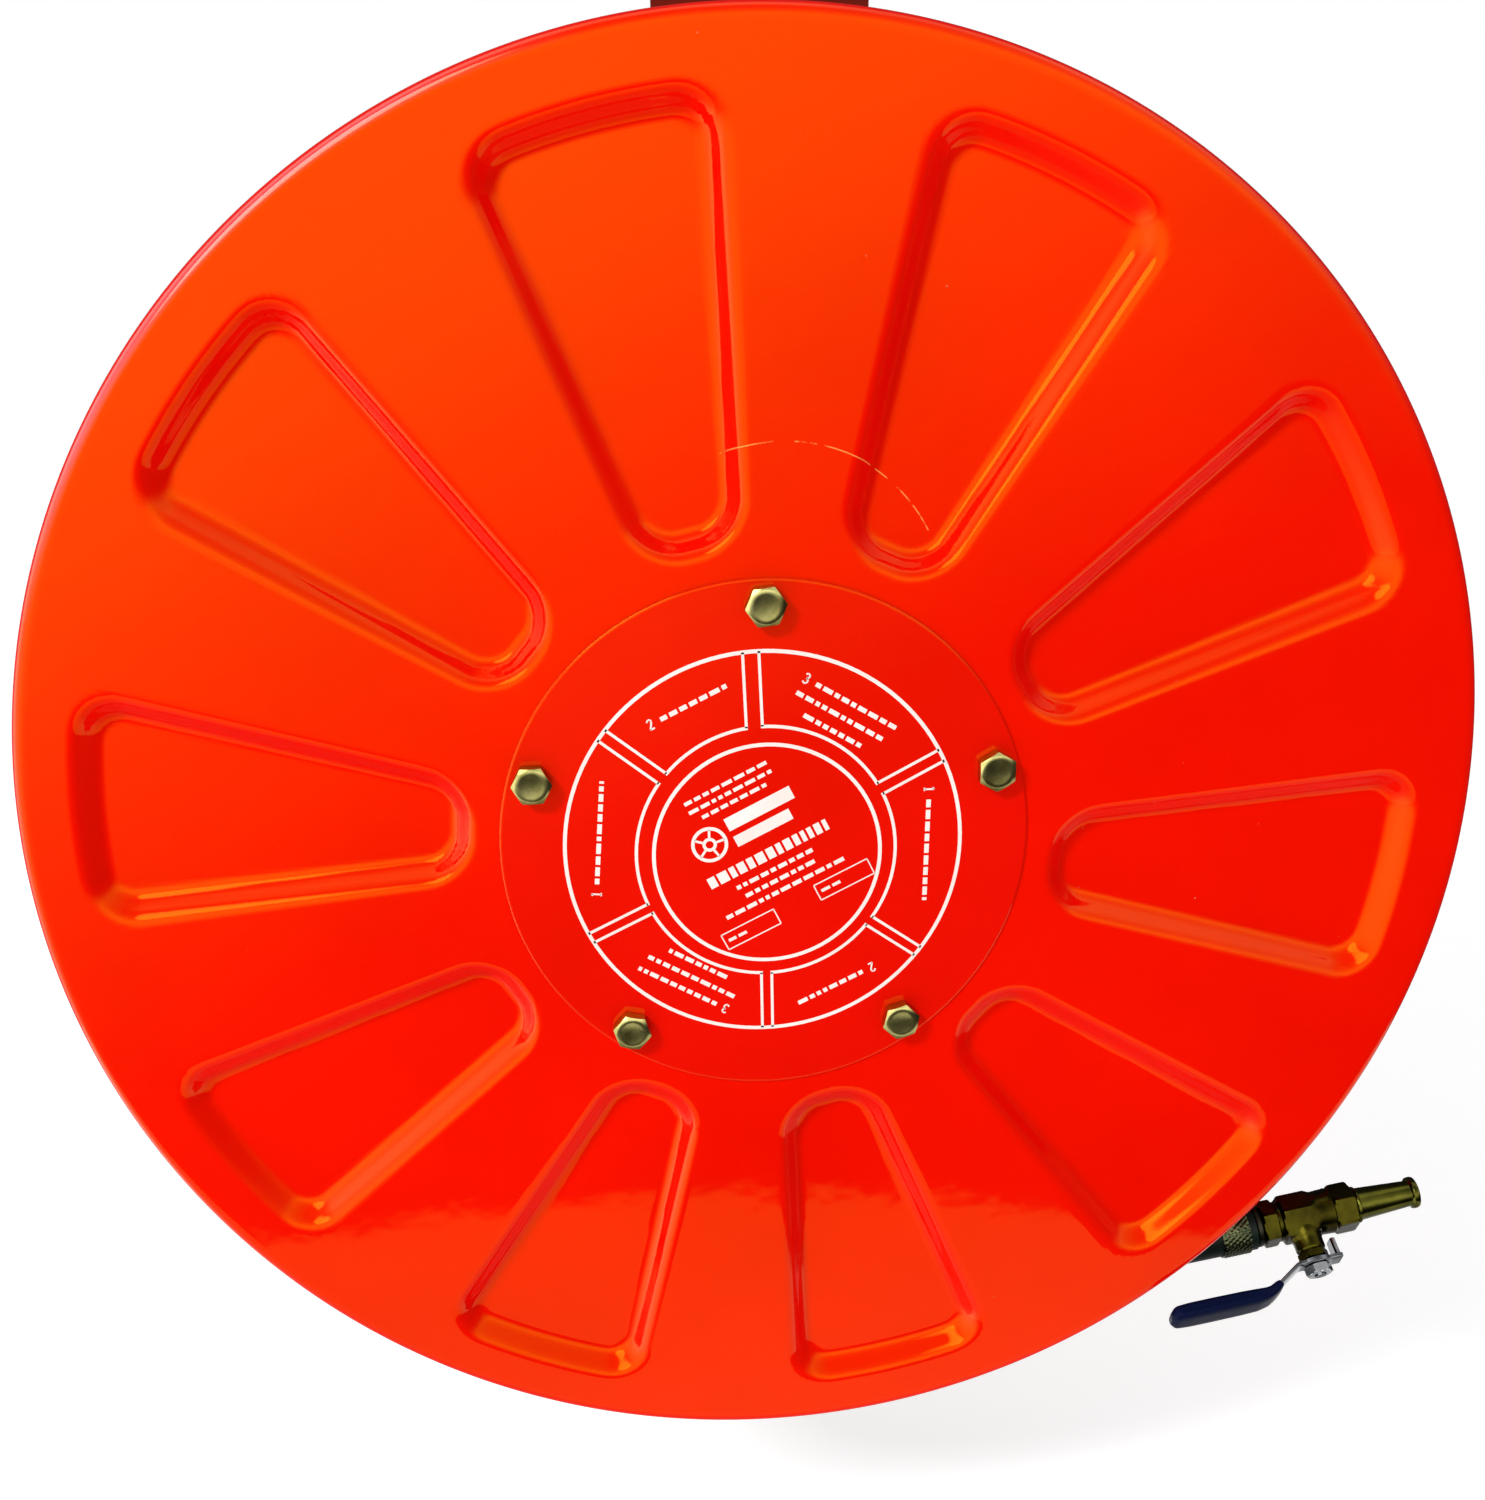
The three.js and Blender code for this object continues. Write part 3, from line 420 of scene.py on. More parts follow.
M_RED = enamel("red_enamel_paint", (0.80, 0.003, 0.0), (0.72, 0.002, 0.0), (1.0, 0.74, 0.02), 0.028, rim=True)
# painted shade: the bracket's red enamel is darkened to the tone it has in shadow behind the disc, and its reflections
# are tinted dull red
M_BRACKET = enamel("bracket_red_enamel_painted_shade", (0.11, 0.002, 0.001), (0.07, 0.001, 0.001), (1.0, 0.2, 0.1), 0.3)
M_LABEL = enamel("label_red_film", (0.74, 0.003, 0.001), (0.66, 0.002, 0.0), (1.0, 0.74, 0.03), 0.03, flecks=False)
M_WHITE = soft("label_white_ink", (0.86, 0.78, 0.74), (0.78, 0.66, 0.60), 0.45, 60, 700, 0.05)
M_ZINC = metal("zinc_yellow_passivated", (0.50, 0.46, 0.17), (0.24, 0.21, 0.06), 0.18, patch=90)
M_BRASS = metal("brass_cast_dark", (0.052, 0.044, 0.004), (0.018, 0.014, 0.002), 0.20, patch=70, bstr=0.3)
M_BRASSP = metal("brass_turned_polished", (0.125, 0.12, 0.015), (0.036, 0.034, 0.006), 0.10, patch=45, bstr=0.2)
M_CHROME = metal("chrome_plate", (0.62, 0.63, 0.64), (0.45, 0.46, 0.48), 0.07, patch=80, bstr=0.05)
M_STEEL = metal("bright_zinc_steel", (0.20, 0.21, 0.22), (0.07, 0.075, 0.08), 0.10, patch=110)
M_GALV = metal("galvanised_pipe", (0.52, 0.54, 0.55), (0.36, 0.38, 0.40), 0.42, patch=55, bstr=0.25)
M_ALU = metal("hub_cast_aluminium", (0.60, 0.61, 0.62), (0.44, 0.45, 0.46), 0.4, patch=70, bstr=0.4)
M_HOSE = soft("hose_black_green", (0.002, 0.008, 0.005), (0.005, 0.011, 0.008), 0.40, 14, 1100, 0.25, spec=0.12)
M_BLUE = soft("lever_blue_vinyl", (0.0008, 0.004, 0.030), (0.0004, 0.002, 0.014), 0.34, 40, 500, 0.12, spec=0.05)
M_NYLON = soft("nylon_natural", (0.75, 0.72, 0.64), (0.66, 0.63, 0.54), 0.45)
M_RUBBER = soft("seal_black_rubber", (0.02, 0.02, 0.02), (0.03, 0.03, 0.03), 0.6)


def put(o, mat, body, slot, *nodes):
    o.data.materials.clear()
    o.data.materials.append(mat)
    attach(o, body)
    if nodes:
        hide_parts(*nodes)
    return o


# ---- pressed discs --------------------------------------------------------------------
R1, R2, H1, H2 = 111.8, 245.3, 16.0, 40.4
SL = (H2 - H1) / (R2 - R1)
KS = math.sqrt(1 + SL * SL)


def pocket_sdf(x, t):
    """Distance from the half-depth outline of a pocket lying along +x, rounded corners included."""
    r = np.hypot(x, t)
    rc = 13.0
    side = (np.abs(t) - (H1 + SL * (x - R1))) / KS
    inner = R1 - x
    outer = r - R2
    q1 = np.maximum(side + rc, 0); q2 = np.maximum(inner + rc, 0); q3 = np.maximum(outer + rc, 0)
    ln = np.sqrt(q1 ** 2 + q2 ** 2 + q3 ** 2)
    return ln + np.minimum(np.maximum(np.maximum(side, inner), outer) + rc, 0) - rc


def wall(t, a=0.34):
    t = np.clip(t, 0, 1)
    k = 1 / (1 - a)
    return np.where(t < a, t * t / (2 * a) * k, np.where(t <= 1 - a, (t - a / 2) * k, 1 - (1 - t) ** 2 / (2 * a) * k))


def dent(r, th):
    """Depth of the pressed pockets at polar positions of the disc."""
    d = np.zeros_like(r)
    step = math.radians(36)
    a = (th - math.radians(POCKET_A0) + step / 2) % step - step / 2
    s = pocket_sdf(r * np.cos(a), r * np.sin(a))
    return 8.2 * wall((5.0 - s) / 10.0)


def disc_mesh(detail=1.0):
    nt = int(640 * detail)
    th = np.linspace(0, 2 * math.pi, nt, endpoint=False)
    rf = np.concatenate([np.linspace(30.5, 100, 8), np.linspace(103, 124, 18), np.linspace(127, 230, 34), np.linspace(232, 255, 20), [257, 259, 261, 262.5, 264]])
    rb = np.concatenate([np.linspace(260, 232, 16), np.linspace(228, 126, 22), np.linspace(123, 103, 10), [100, 30.5]])
    rows = [(r, 1.4, 1.0) for r in rf]
    cr, cy = DISC_R - RIM_R, 3.0
    cy = 1.4 + RIM_R
    for a in np.linspace(270, 360 + 172, 18):
        rows.append((cr + RIM_R * math.cos(math.radians(a)), cy + RIM_R * math.sin(math.radians(a)), 0.0))
    rows += [(r, 3.4, 1.0) for r in rb]
    v = np.zeros((len(rows), nt, 3))
    warp = 0.35 * np.sin(3 * th + 0.7) + 0.25 * np.sin(5 * th + 2.1)     # slight unevenness of a pressed sheet
    for i, (r, y, k) in enumerate(rows):
        rr = np.full(nt, r)
        d = dent(rr, th) * k if k and 100 < r < 256 else 0
        w = warp * min(1.0, max(0.0, (r - 100) / 160)) * 0.5
        v[i, :, 0] = r * np.cos(th)
        v[i, :, 1] = y + d + w
        v[i, :, 2] = r * np.sin(th)
    f = grid_faces(len(rows), nt, close_u=True, close_v=True)
    return v.reshape(-1, 3), f


v, f = disc_mesh()
o_front = mesh_obj("disc_front", (v + [0, YF, 0]) * MM, f[:, ::-1])
v2, f2 = disc_mesh(0.75)
v2[:, 1] *= -1
o_rear = mesh_obj("disc_rear", (v2 + [0, YR, 0]) * MM, f2)
put(o_front, M_RED, "drum", "red_enamel", "front_disc")
put(o_rear, M_RED, "drum", "red_enamel", "rear_disc")

# ---- label plate and its printing -------------------------------------------------------
LAB_Y = YF + 0.3


def about_y(prof, seg=128):
    """Closed profile of (r, y) turned about the drum axis."""
    p = np.array(prof, float)
    th = np.linspace(0, 2 * math.pi, seg, endpoint=False)
    v = np.zeros((len(p), seg, 3))
    v[:, :, 0] = p[:, 0:1] * np.cos(th)
    v[:, :, 1] = p[:, 1:2]
    v[:, :, 2] = p[:, 0:1] * np.sin(th)
    v = v.reshape(-1, 3)
    return v, outward(v, grid_faces(len(p), seg, close_u=True, close_v=True).tolist())


lv, lf = about_y([(0.01, LAB_Y), (60, LAB_Y), (90, LAB_Y), (97.3, LAB_Y), (97.6, LAB_Y), (98.0, LAB_Y + 0.12), (98.3, LAB_Y + 0.4), (98.3, LAB_Y + 0.8), (60, LAB_Y + 0.8), (0.01, LAB_Y + 0.8)], 192)
o = mesh_obj("label_disc", lv * MM, lf, sharp=40)
put(o, M_LABEL, "drum", "label_plate", "label_plate")

PRINT_Y0, PRINT_Y1 = LAB_Y - 0.10, LAB_Y + 0.02
prints = []


def flat(poly):
    """A thin printed patch: polygon in disc coordinates (x, z)."""
    poly = [tuple(p) for p in poly]
    m = len(poly)
    v = [(p[0], PRINT_Y0, p[1]) for p in poly] + [(p[0], PRINT_Y1, p[1]) for p in poly]
    f = [list(range(m)), [m + i for i in range(m)][::-1]] + [[i, (i + 1) % m, m + (i + 1) % m, m + i][::-1] for i in range(m)]
    prints.append((np.array(v), outward(np.array(v, float), f)))


LC = np.array([-0.8, -0.6])          # the print sits a little off the middle of its plate


def arc_band(c, r0, r1, a0, a1, n=None):
    n = n or max(3, int(abs(a1 - a0) / 3) + 1)
    A = np.radians(np.linspace(a0, a1, n))
    pts0 = [(c[0] + r0 * math.cos(a), c[1] + r0 * math.sin(a)) for a in A]
    pts1 = [(c[0] + r1 * math.cos(a), c[1] + r1 * math.sin(a)) for a in A]
    for i in range(n - 1):
        flat([pts0[i], pts1[i], pts1[i + 1], pts0[i + 1]])


def line(p, q, w):
    p, q = np.array(p, float), np.array(q, float)
    d = (q - p) / np.linalg.norm(q - p)
    s = np.array([-d[1], d[0]]) * w / 2
    flat([p + s, q + s, q - s, p - s])


arc_band(LC, 73.0, 74.4, 0, 360, 121)
C2 = np.array([0.5, -3.1])
C3 = np.array([0.14, -2.5])
arc_band(C2, 41.6, 43.0, 0, 360, 97)
# dividers: outer point, inner point, half the gap between the two lines
DIVS = [((64.0, 33.2), (42.9, 21.9), 2.35), ((-5.5, 73.4), (-4.2, 45.2), 2.9), ((-58.7, 43.7), (-36.5, 26.5), 2.35),
        ((-65.7, -33.8), (-43.8, -23.0), 2.05), ((0.6, -75.0), (0.2, -50.6), 2.0), ((58.6, -44.0), (38.9, -30.4), 2.0)]


def on_ring(c, r, p, d):
    """The point where a line through p along d meets the circle of radius r about c."""
    e = np.array(p, float) - c
    b = float(e @ d)
    return np.array(p, float) + d * (-b + math.sqrt(max(0.0, b * b - float(e @ e) + r * r)))


ends = []
for po, pn, hg in DIVS:
    po, pn = np.array(po), np.array(pn)
    d = (po - pn) / np.linalg.norm(po - pn)
    nrm = np.array([-d[1], d[0]])
    pair = []
    for s in (-1, 1):
        q0, q1 = on_ring(C3, 48.4, pn + nrm * s * hg, d), on_ring(LC, 73.7, po + nrm * s * hg, d)
        line(q0, q1, 1.05)
        pair.append(math.degrees(math.atan2(q0[1] - C3[1], q0[0] - C3[0])))
    ends.append(pair)
for k in range(6):
    a0, a1 = ends[k][1], ends[(k + 1) % 6][0]
    a1 = a1 + 360.0 * math.ceil((a0 - a1) / 360.0)
    arc_band(C3, 47.8, 49.0, a0 - 0.6, a1 + 0.6)

GLYPHS = {  # simple stroke numerals on a 4 x 6 grid
    "1": [[(1, 5), (2, 6), (2, 0)], [(1, 0), (3, 0)]],
    "2": [[(0.6, 4.8), (1.2, 5.7), (2, 6), (2.9, 5.6), (3.3, 4.6), (2.8, 3.4), (0.6, 0), (3.5, 0)]],
    "3": [[(0.6, 5.2), (1.4, 6), (2.6, 5.9), (3.3, 4.9), (2.8, 3.6), (1.8, 3.2), (2.9, 2.9), (3.5, 1.7), (2.9, 0.4), (1.6, 0), (0.5, 0.8)]],
}


def strokes(paths, origin, ang, size, w):
    c, s = math.cos(ang), math.sin(ang)
    for path in paths:
        pts = [(origin[0] + size * (c * x - s * y), origin[1] + size * (s * x + c * y)) for x, y in path]
        for p, q in zip(pts, pts[1:]):
            line(p, q, w)


def bars(center, ang, rows, width, pitch, w, jitter=0.0, seed=1):
    """Lines of small blocks standing for generic fine print."""
    g = np.random.default_rng(seed)
    c, s = math.cos(ang), math.sin(ang)
    for i in range(rows):
        y = ((rows - 1) / 2 - i) * pitch
        wd = width * (1 - jitter * g.random())
        x = -wd / 2
        while x < wd / 2 - 0.8:
            l = float(g.uniform(1.6, 4.2))
            l = min(l, wd / 2 - x)
            p = (center[0] + c * x - s * y, center[1] + s * x + c * y)
            q = (center[0] + c * (x + l) - s * y, center[1] + s * (x + l) + c * y)
            line(p, q, w)
            x += l + 1.0


# segments: a step numeral followed by rows of fine print, all facing outwards
for k, (a_deg, num, rows) in enumerate([(60.2, "3", (39, 38, 25)), (241.0, "3", (39, 38, 25)), (116.2, "2", (33,)), (296.6, "2", (33,)), (175, "1", (45,)), (360, "1", (45,))]):
    a = math.radians(a_deg)
    d = np.array([math.cos(a), math.sin(a)])
    up = a - math.pi / 2
    nrm = np.array([math.cos(up), math.sin(up)])
    for j, wd in enumerate(rows):
        rad_ = (63.0 if k == 3 else 61.2) if len(rows) == 1 else (62.6 if k == 0 else 64.0) - 5.9 * j
        cen = LC + d * rad_
        if j == 0:
            strokes(GLYPHS[num], cen - nrm * (wd / 2) - d * 1.7, up, 0.60, 0.62)
            cen = cen + nrm * 2.6
            wd -= 5.2
        bars(cen, up, 1, wd, 5.0, 1.7, 0.0, 10 + 7 * k + j)

# centre block, tilted: small rows, a plain reel mark with two thick bars, a title bar, rows and two outlined boxes
ta = math.radians(27)
ex, ez = np.array([math.cos(ta), math.sin(ta)]), np.array([-math.sin(ta), math.cos(ta)])
cc = C2


def at(x, y):
    return cc + ex * x + ez * y


for y, wd in ((32.0, 34), (28.3, 34), (24.6, 27)):
    bars(at(-1, y), ta, 1, wd, 4, 1.4, 0.0, int(y))
arc_band(at(-17, 14), 5.6, 6.9, 0, 360, 37)
arc_band(at(-17, 14), 1.5, 2.7, 0, 360, 21)
for j in range(5):
    a = math.radians(72 * j + 20)
    dd = np.array([math.cos(a), math.sin(a)])
    line(at(-17, 14) + dd * 2.6, at(-17, 14) + dd * 5.8, 0.9)
line(at(-8, 17.6), at(19, 17.6), 5.2)
line(at(-8, 10.3), at(15, 10.3), 4.4)
bars(at(0.5, 0.2), ta, 1, 50, 5.0, 4.4, 0.0, 33)
for y, wd in ((-6.2, 32), (-10.6, 29), (-15.0, 50)):
    bars(at(0, y), ta, 1, wd, 4, 1.6, 0.0, int(50 + y))
for bx, by in ((-19, -23.6), (21.0, -22.6)):
    x0, x1, y0, y1 = bx - 11.2, bx + 11.2, by - 3.3, by + 3.3
    for p, q in (((x0, y0), (x1, y0)), ((x1, y0), (x1, y1)), ((x1, y1), (x0, y1)), ((x0, y1), (x0, y0))):
        line(at(*p), at(*q), 0.45)
    bars(at(bx - 5.5, by), ta, 1, 8, 4, 1.2, 0.0, 40 + int(bx))
pv, pf = join_parts(prints)
o = mesh_obj("label_print", pv * MM, pf, smooth=False)
put(o, M_WHITE, "drum", "label_plate")


# ---- bolts ---------------------------------------------------------------------------------
def bolt_head(spin, af=13.0, h=5.3, shank=15.0, shank_r=3.95):
    """Head towards -Y, underside at y 0, turned 30 degree chamfer with a worn edge."""
    seg = 96
    lim = hexlim(af)
    R = af / math.sqrt(3)
    def rad_at(t, r):
        return min(r, lim(t))
    top = -h
    prof = [(0.01, top + 0.10), (3.9, top + 0.09), (4.4, top), (5.75, top), (6.05, top + 0.10), (6.5, top + 0.34), (7.0, top + 0.62), (7.45, top + 0.95),
            (9, top + 1.25), (9, -0.35), (7.2, -0.12), (6.2, 0.0), (shank_r, 0.0), (shank_r, shank - 0.8), (shank_r - 0.7, shank), (0.01, shank)]
    th = np.linspace(0, 2 * math.pi, seg, endpoint=False)
    v = np.zeros((len(prof), seg, 3))
    for i, (r, y) in enumerate(prof):
        rr = np.array([rad_at(t, r) for t in th])
        yy = np.full(seg, y)
        if top + 0.3 < y < top + 1.3:        # on a flat the chamfer meets the side higher up
            yy = np.array([top + 0.10 + max(0.0, (q - 6.05)) * 0.5774 for q in rr])
        if r == 9 and y < -1:
            yy = np.array([top + 0.10 + max(0.0, (q - 6.05)) * 0.5774 + 0.22 for q in rr])
        v[i, :, 0] = rr * np.cos(th + spin)
        v[i, :, 1] = yy
        v[i, :, 2] = rr * np.sin(th + spin)
    v = v.reshape(-1, 3)
    return v, outward(v, grid_faces(len(prof), seg, close_u=True, close_v=True).tolist())


SPINS = [0.12, 0.55, 0.30, 0.85, 0.02]
for i in range(5):
    a = math.radians(BOLT_A0 - 72 * i)
    bx, bz = BOLT_R * math.cos(a), BOLT_R * math.sin(a)
    v, f = bolt_head(SPINS[i])
    o = mesh_obj(f"disc_bolt_front_{i + 1}", (v + [bx, YF, bz]) * MM, f, sharp=28)
    put(o, M_ZINC, "drum", "zinc_bolt", f"front_bolt_{i + 1}")
    v, f = bolt_head(SPINS[4 - i], shank=13.5)
    v = v * [1, -1, -1]
    o = mesh_obj(f"disc_bolt_rear_{i + 1}", (v + [bx, YR - 1.4 + 0.3, bz]) * MM, f, sharp=28)
    put(o, M_ZINC, "drum", "zinc_bolt", f"rear_bolt_{i + 1}")

# ---- hose: one continuous wound tube ----------------------------------------------------------
RHO, CR = 75.0, INNER_R - 75.0
LEAD_Y = TURN_Y0 + (TURNS - 1) * TURN_PITCH


def lead(phi):
    a = math.radians(-phi)
    t = min(max((100 - phi) / 100, 0), 1)
    y = -100 + (LEAD_Y + 100) * t * t * (3 - 2 * t)
    return np.array([CR + RHO * math.cos(a), y, RHO * math.sin(a)])


LAYERS = 7
seq = []
for l in range(LAYERS):
    r = INNER_R + (OUTER_R - INNER_R) * l / (LAYERS - 1)
    if l % 2 == 0:
        cols = [TURN_Y0 + TURN_PITCH * c for c in range(TURNS)]
        cols = cols[::-1]
        seq += [(r, y) for y in cols]
    else:
        seq += [(r, TURN_Y0 + TURN_PITCH * (c + 0.5)) for c in range(TURNS - 1)]
total_deg = (len(seq) - 1) * 360 + (360 - 90 + math.degrees(TAIL))
pts = [lead(p) for p in np.linspace(120, 3, 26)]
ang = 0.0
wob = rng.normal(0, 1, (len(seq) + 1, 6))
while ang < total_deg - 1e-6:
    n = int(ang // 360)
    u = (ang - n * 360)
    r, y = seq[n]
    if n + 1 < len(seq) and u > 300:
        s = (u - 300) / 60
        s = s * s * (3 - 2 * s)
        r2_, y2_ = seq[n + 1]
        r = r + (r2_ - r) * s
        y = y + (y2_ - y) * s
    th = math.radians(ang)
    fade = min(1.0, (total_deg - ang) / 200, ang / 90 if ang < 90 else 1.0)
    w = wob[n]
    env = math.sin(math.radians(u) / 2) ** 2
    r += 0.22 * env * fade * (w[0] * math.sin(2 * th + w[1]) + 0.6 * w[2] * math.sin(5 * th + w[3]))
    pts.append(np.array([r * math.cos(th), y, r * math.sin(th)]))
    ang += 5.0 if n < len(seq) - 6 else 3.0
for t in np.linspace(0, HOSE_END, 40):
    sag = -0.6 * math.sin(math.pi * t / HOSE_END)
    pts.append(TD * t + TO * (OUTER_R + sag) + np.array([0, TURN_Y0, 0]))
P = np.array(pts)
hv, hf = tube_mesh(P, 10.0, 16)
o = mesh_obj("hose_wound", hv * MM, hf, sharp=50)
put(o, M_HOSE, "drum", "hose", "hose")


# ---- quarter-turn valves --------------------------------------------------------------------------
def mat4(ex, ey, ez, o, s=1.0):
    m = np.eye(4)
    m[:3, 0], m[:3, 1], m[:3, 2], m[:3, 3] = np.array(ex) * s, np.array(ey) * s, np.array(ez) * s, o
    return m


def rotz(a):
    m = np.eye(4)
    m[0, 0] = m[1, 1] = math.cos(a)
    m[0, 1], m[1, 0] = -math.sin(a), math.sin(a)
    return m


def shift_x(d):
    m = np.eye(4)
    m[0, 3] = d
    return m


def rotx(a):
    m = np.eye(4)
    m[1, 1] = m[2, 2] = math.cos(a)
    m[1, 2], m[2, 1] = -math.sin(a), math.sin(a)
    return m


def to_z(v):
    """Turned-about-X geometry stood on the stem axis: x becomes z."""
    v = np.asarray(v, float)
    return np.stack([v[:, 1], v[:, 2], v[:, 0]], 1)


def valve(prefix, base, key, af, rnd, sock, k, crank, run, reach, sx, J, M, turn, slots):
    N = M @ shift_x(sx)
    L = N @ rotz(turn)
    # body: hexagon shoulder, waisted barrel, ball swelling, faceted collar, stem boss
    lim = hexlim(af)
    R = af / math.sqrt(3)
    prof = [(J, 10.3 * k), (J, af / 2 - 0.9), (J + 0.3, af / 2 - 0.3), (J + 1.0, R - 0.4), (J + 1.5, R + 1), (-3.0, R + 1), (-2.2, R - 0.5), (-1.4, rnd + 0.5), (-0.6, rnd),
            (0.8, rnd - 0.1), (3.2, rnd + 0.05), (5.4, rnd + 0.1), (6.4, rnd + 0.25), (7.0, af / 2 + 0.1), (7.6, R - 0.5), (8.2, R + 1), (15.6, R + 1), (16.2, R - 0.5), (16.7, af / 2 - 0.2),
            (17.0, af / 2 - 0.9), (17.0, sock), (11.5, sock), (11.5, 6.5 * k), (sx + 8.6 * k, 6.5 * k), (sx + 8.6 * k, 10.3 * k)]
    def facet(t, r, xx):
        return min(r, lim(t)) if r > rnd - 0.5 and (xx < -1.0 or xx > 6.6) else r
    v, f = lathe_x(prof, 120, facet)
    bossp = [(5.0, 3.6), (5.0, 7.6), (8.6, 7.4), (rnd + 0.2, 6.9), (rnd + 1.2, 6.5), (rnd + 2.2, 6.3), (15.6, 6.3), (16.4, 5.9), (16.4, 3.6)]
    bv, bf = lathe_x(bossp, 48)
    v, f = join_parts([(v, f), (to_z(bv) + [sx, 0, 0], bf)])
    o = mesh_obj(f"{prefix}_casting", xf(M, v) * MM, f, sharp=26)
    put(o, M_BRASS, base, slots, f"{prefix}_body")
    af2 = af - 1
    R3 = af2 / math.sqrt(3)
    lim2 = hexlim(af2)
    j0 = J - 0.3
    prof = [(-25, sock), (-25, af2 / 2 - 1.0), (-24.7, af2 / 2 - 0.3), (-24.1, R3 - 0.4), (-23.6, R3 + 1), (j0 - 2.6, R3 + 1), (j0 - 2.0, R3 - 0.4), (j0 - 1.4, af2 / 2 - 0.3), (j0 - 0.9, rnd - 0.9),
            (j0 - 0.05, rnd - 1.0), (j0, 9.7 * k), (sx - 8.9 * k, 9.7 * k), (sx - 8.9 * k, 6.5 * k), (-19.5, 6.5 * k), (-19.5, sock)]
    def facet2(t, r, xx):
        return min(r, lim2(t)) if r > rnd - 0.6 and xx < j0 - 1.2 else r
    v, f = lathe_x(prof, 120, facet2)
    o = mesh_obj(f"{prefix}_end_fitting", xf(M, v) * MM, f, sharp=26)
    put(o, M_BRASS, base, slots, f"{prefix}_end_piece")
    # packing nut on the boss
    v, f = hex_x(11.5, 3.6, 16.8, 20.2, seg=96)
    sv, sf = lathe_x([(13, 3.6), (13, 4.5), (17, 4.5), (17, 3.6)], 40)
    v, f = join_parts([(to_z(v), f), (to_z(sv), sf)])
    o = mesh_obj(f"{prefix}_packing_nut", xf(N, v) * MM, f, sharp=26)
    put(o, M_BRASS, base, slots, f"{prefix}_gland_nut")
    # lever: pressed strip with a folded stop tab
    c = crank
    cx = -8 - run
    sl = (c - 21.9) / run
    av, afc = strip_sweep([(10.8, 21.9), (-7.2, 21.9), (-8.0, 21.95), (-8.9, 21.9 + 0.9 * sl), (cx + 0.9, c - 0.9 * sl), (cx, c - 0.05), (cx - 0.8, c), (-reach, c)], 5.5, 1.0, 110, 28, 6.0)
    pv_, pf_ = lathe_x([(20.9, 3.4), (20.9, 7.0), (21.15, 7.4), (22.65, 7.4), (22.9, 7.0), (22.9, 3.4)], 48)
    tv, tf = strip_sweep([(7.6, 21.9), (8.9, 21.6), (9.4, 20.8), (9.4, 13.6)], [5.3, 5.3, 5.2, 4.2], 1.0, 40, 24, 6.0)
    v, f = join_parts([(av, afc), (to_z(pv_), pf_), (tv, tf)])
    o = mesh_obj(f"{prefix}_handle_strip", xf(L, v) * MM, f, sharp=35)
    put(o, M_STEEL, key, "steel", f"{prefix}_lever")
    v, f = hex_x(10.4, 2.7, 23.2, 27.4, seg=96)
    o = mesh_obj(f"{prefix}_handle_nut", xf(L, to_z(v)) * MM, f, sharp=26)
    put(o, M_CHROME, key, "chrome", f"{prefix}_lever_nut")
    # dipped vinyl grip: a soft sleeve swept along the strip, widening towards the end
    path = [(cx + 6.6, c - 6.6 * sl), (cx + 6.2, c - 6.2 * sl), (cx + 2.4, c - 2.4 * sl), (cx - 0.6, c - 0.4), (cx - 4.5, c), (cx - 12, c), (-reach + 14, c), (-reach + 5, c), (-reach - 0.5, c), (-reach - 2.0, c), (-reach - 2.7, c)]
    wid = [5.7, 6.2, 6.8, 7.8, 8.6, 9.0, 9.1, 9.0, 8.6, 7.8, 6.0]
    thk = [1.5, 1.9, 2.3, 2.8, 3.2, 3.4, 3.5, 3.5, 3.2, 2.6, 1.6]
    g, gf = strip_sweep(path, wid, thk, 70, 40, 4.6)
    o = mesh_obj(f"{prefix}_handle_sleeve", xf(L, g) * MM, gf, sharp=60)
    put(o, M_BLUE, key, "blue_vinyl", f"{prefix}_grip")


NM = mat4(TD, np.cross(TO, TD), TO, TD * NOZZLE_T + TO * OUTER_R + np.array([0, TURN_Y0, 0])) @ rotx(math.radians(-55))
valve("nozzle_valve", "drum", "nozzle_key", 19.4, 9.9, 7.2, 0.8, 32.5, 17, 65, -7, -16.2, NM, 0.0, "brass")
SM = mat4((0, 0, 1), (-1, 0, 0), (0, -1, 0), (0, -34, -312), 1.75)
valve("stop_valve", "base", "stop_key", 23.6, 12.4, 9.85, 1.0, 32, 10.1, 66, 0, -14.7, SM, math.pi / 2, "brass")

# jet, tail collar and hose clamp on the free end
jet = [(12.2, 4.9), (12.2, 6.8), (17.4, 6.8), (17.45, 7.9), (17.8, 8.15), (18.7, 8.15), (19.0, 7.9), (19.15, 7.35), (19.6, 7.25), (30, 6.55), (41.6, 5.75), (42.1, 5.8), (42.4, 6.3), (42.7, 6.85), (43.3, 7.05), (44.6, 7.05),
       (45.2, 6.8), (45.4, 6.3), (45.2, 5.0), (44.4, 4.1), (43.4, 3.3), (42, 3.1), (38, 3.1), (20, 4.9)]
v, f = lathe_x(jet, 96)
o = mesh_obj("jet_turned", xf(NM, v) * MM, f, sharp=38)
put(o, M_BRASSP, "drum", "brass", "jet_nozzle")
v, f = lathe_x([(-26, 4.6), (-27.7, 4.6), (-27.9, 6.6), (-27.9, 8.8), (-27.5, 9.3), (-25.9, 9.3), (-25.4, 8.8), (-25.4, 6.8), (-19.9, 6.8), (-19.9, 4.6)], 72)
ring_v = v
o = mesh_obj("tail_collar", xf(NM, v) * MM, f, sharp=35)
# the tail collar is a near-black metal, as dark as the band between the valve and the hose
M_COLLAR = metal("tail_collar_near_black", (0.035, 0.032, 0.02), (0.015, 0.013, 0.01), 0.35, patch=80)
put(o, M_COLLAR, "drum", "brass", "hose_tail")
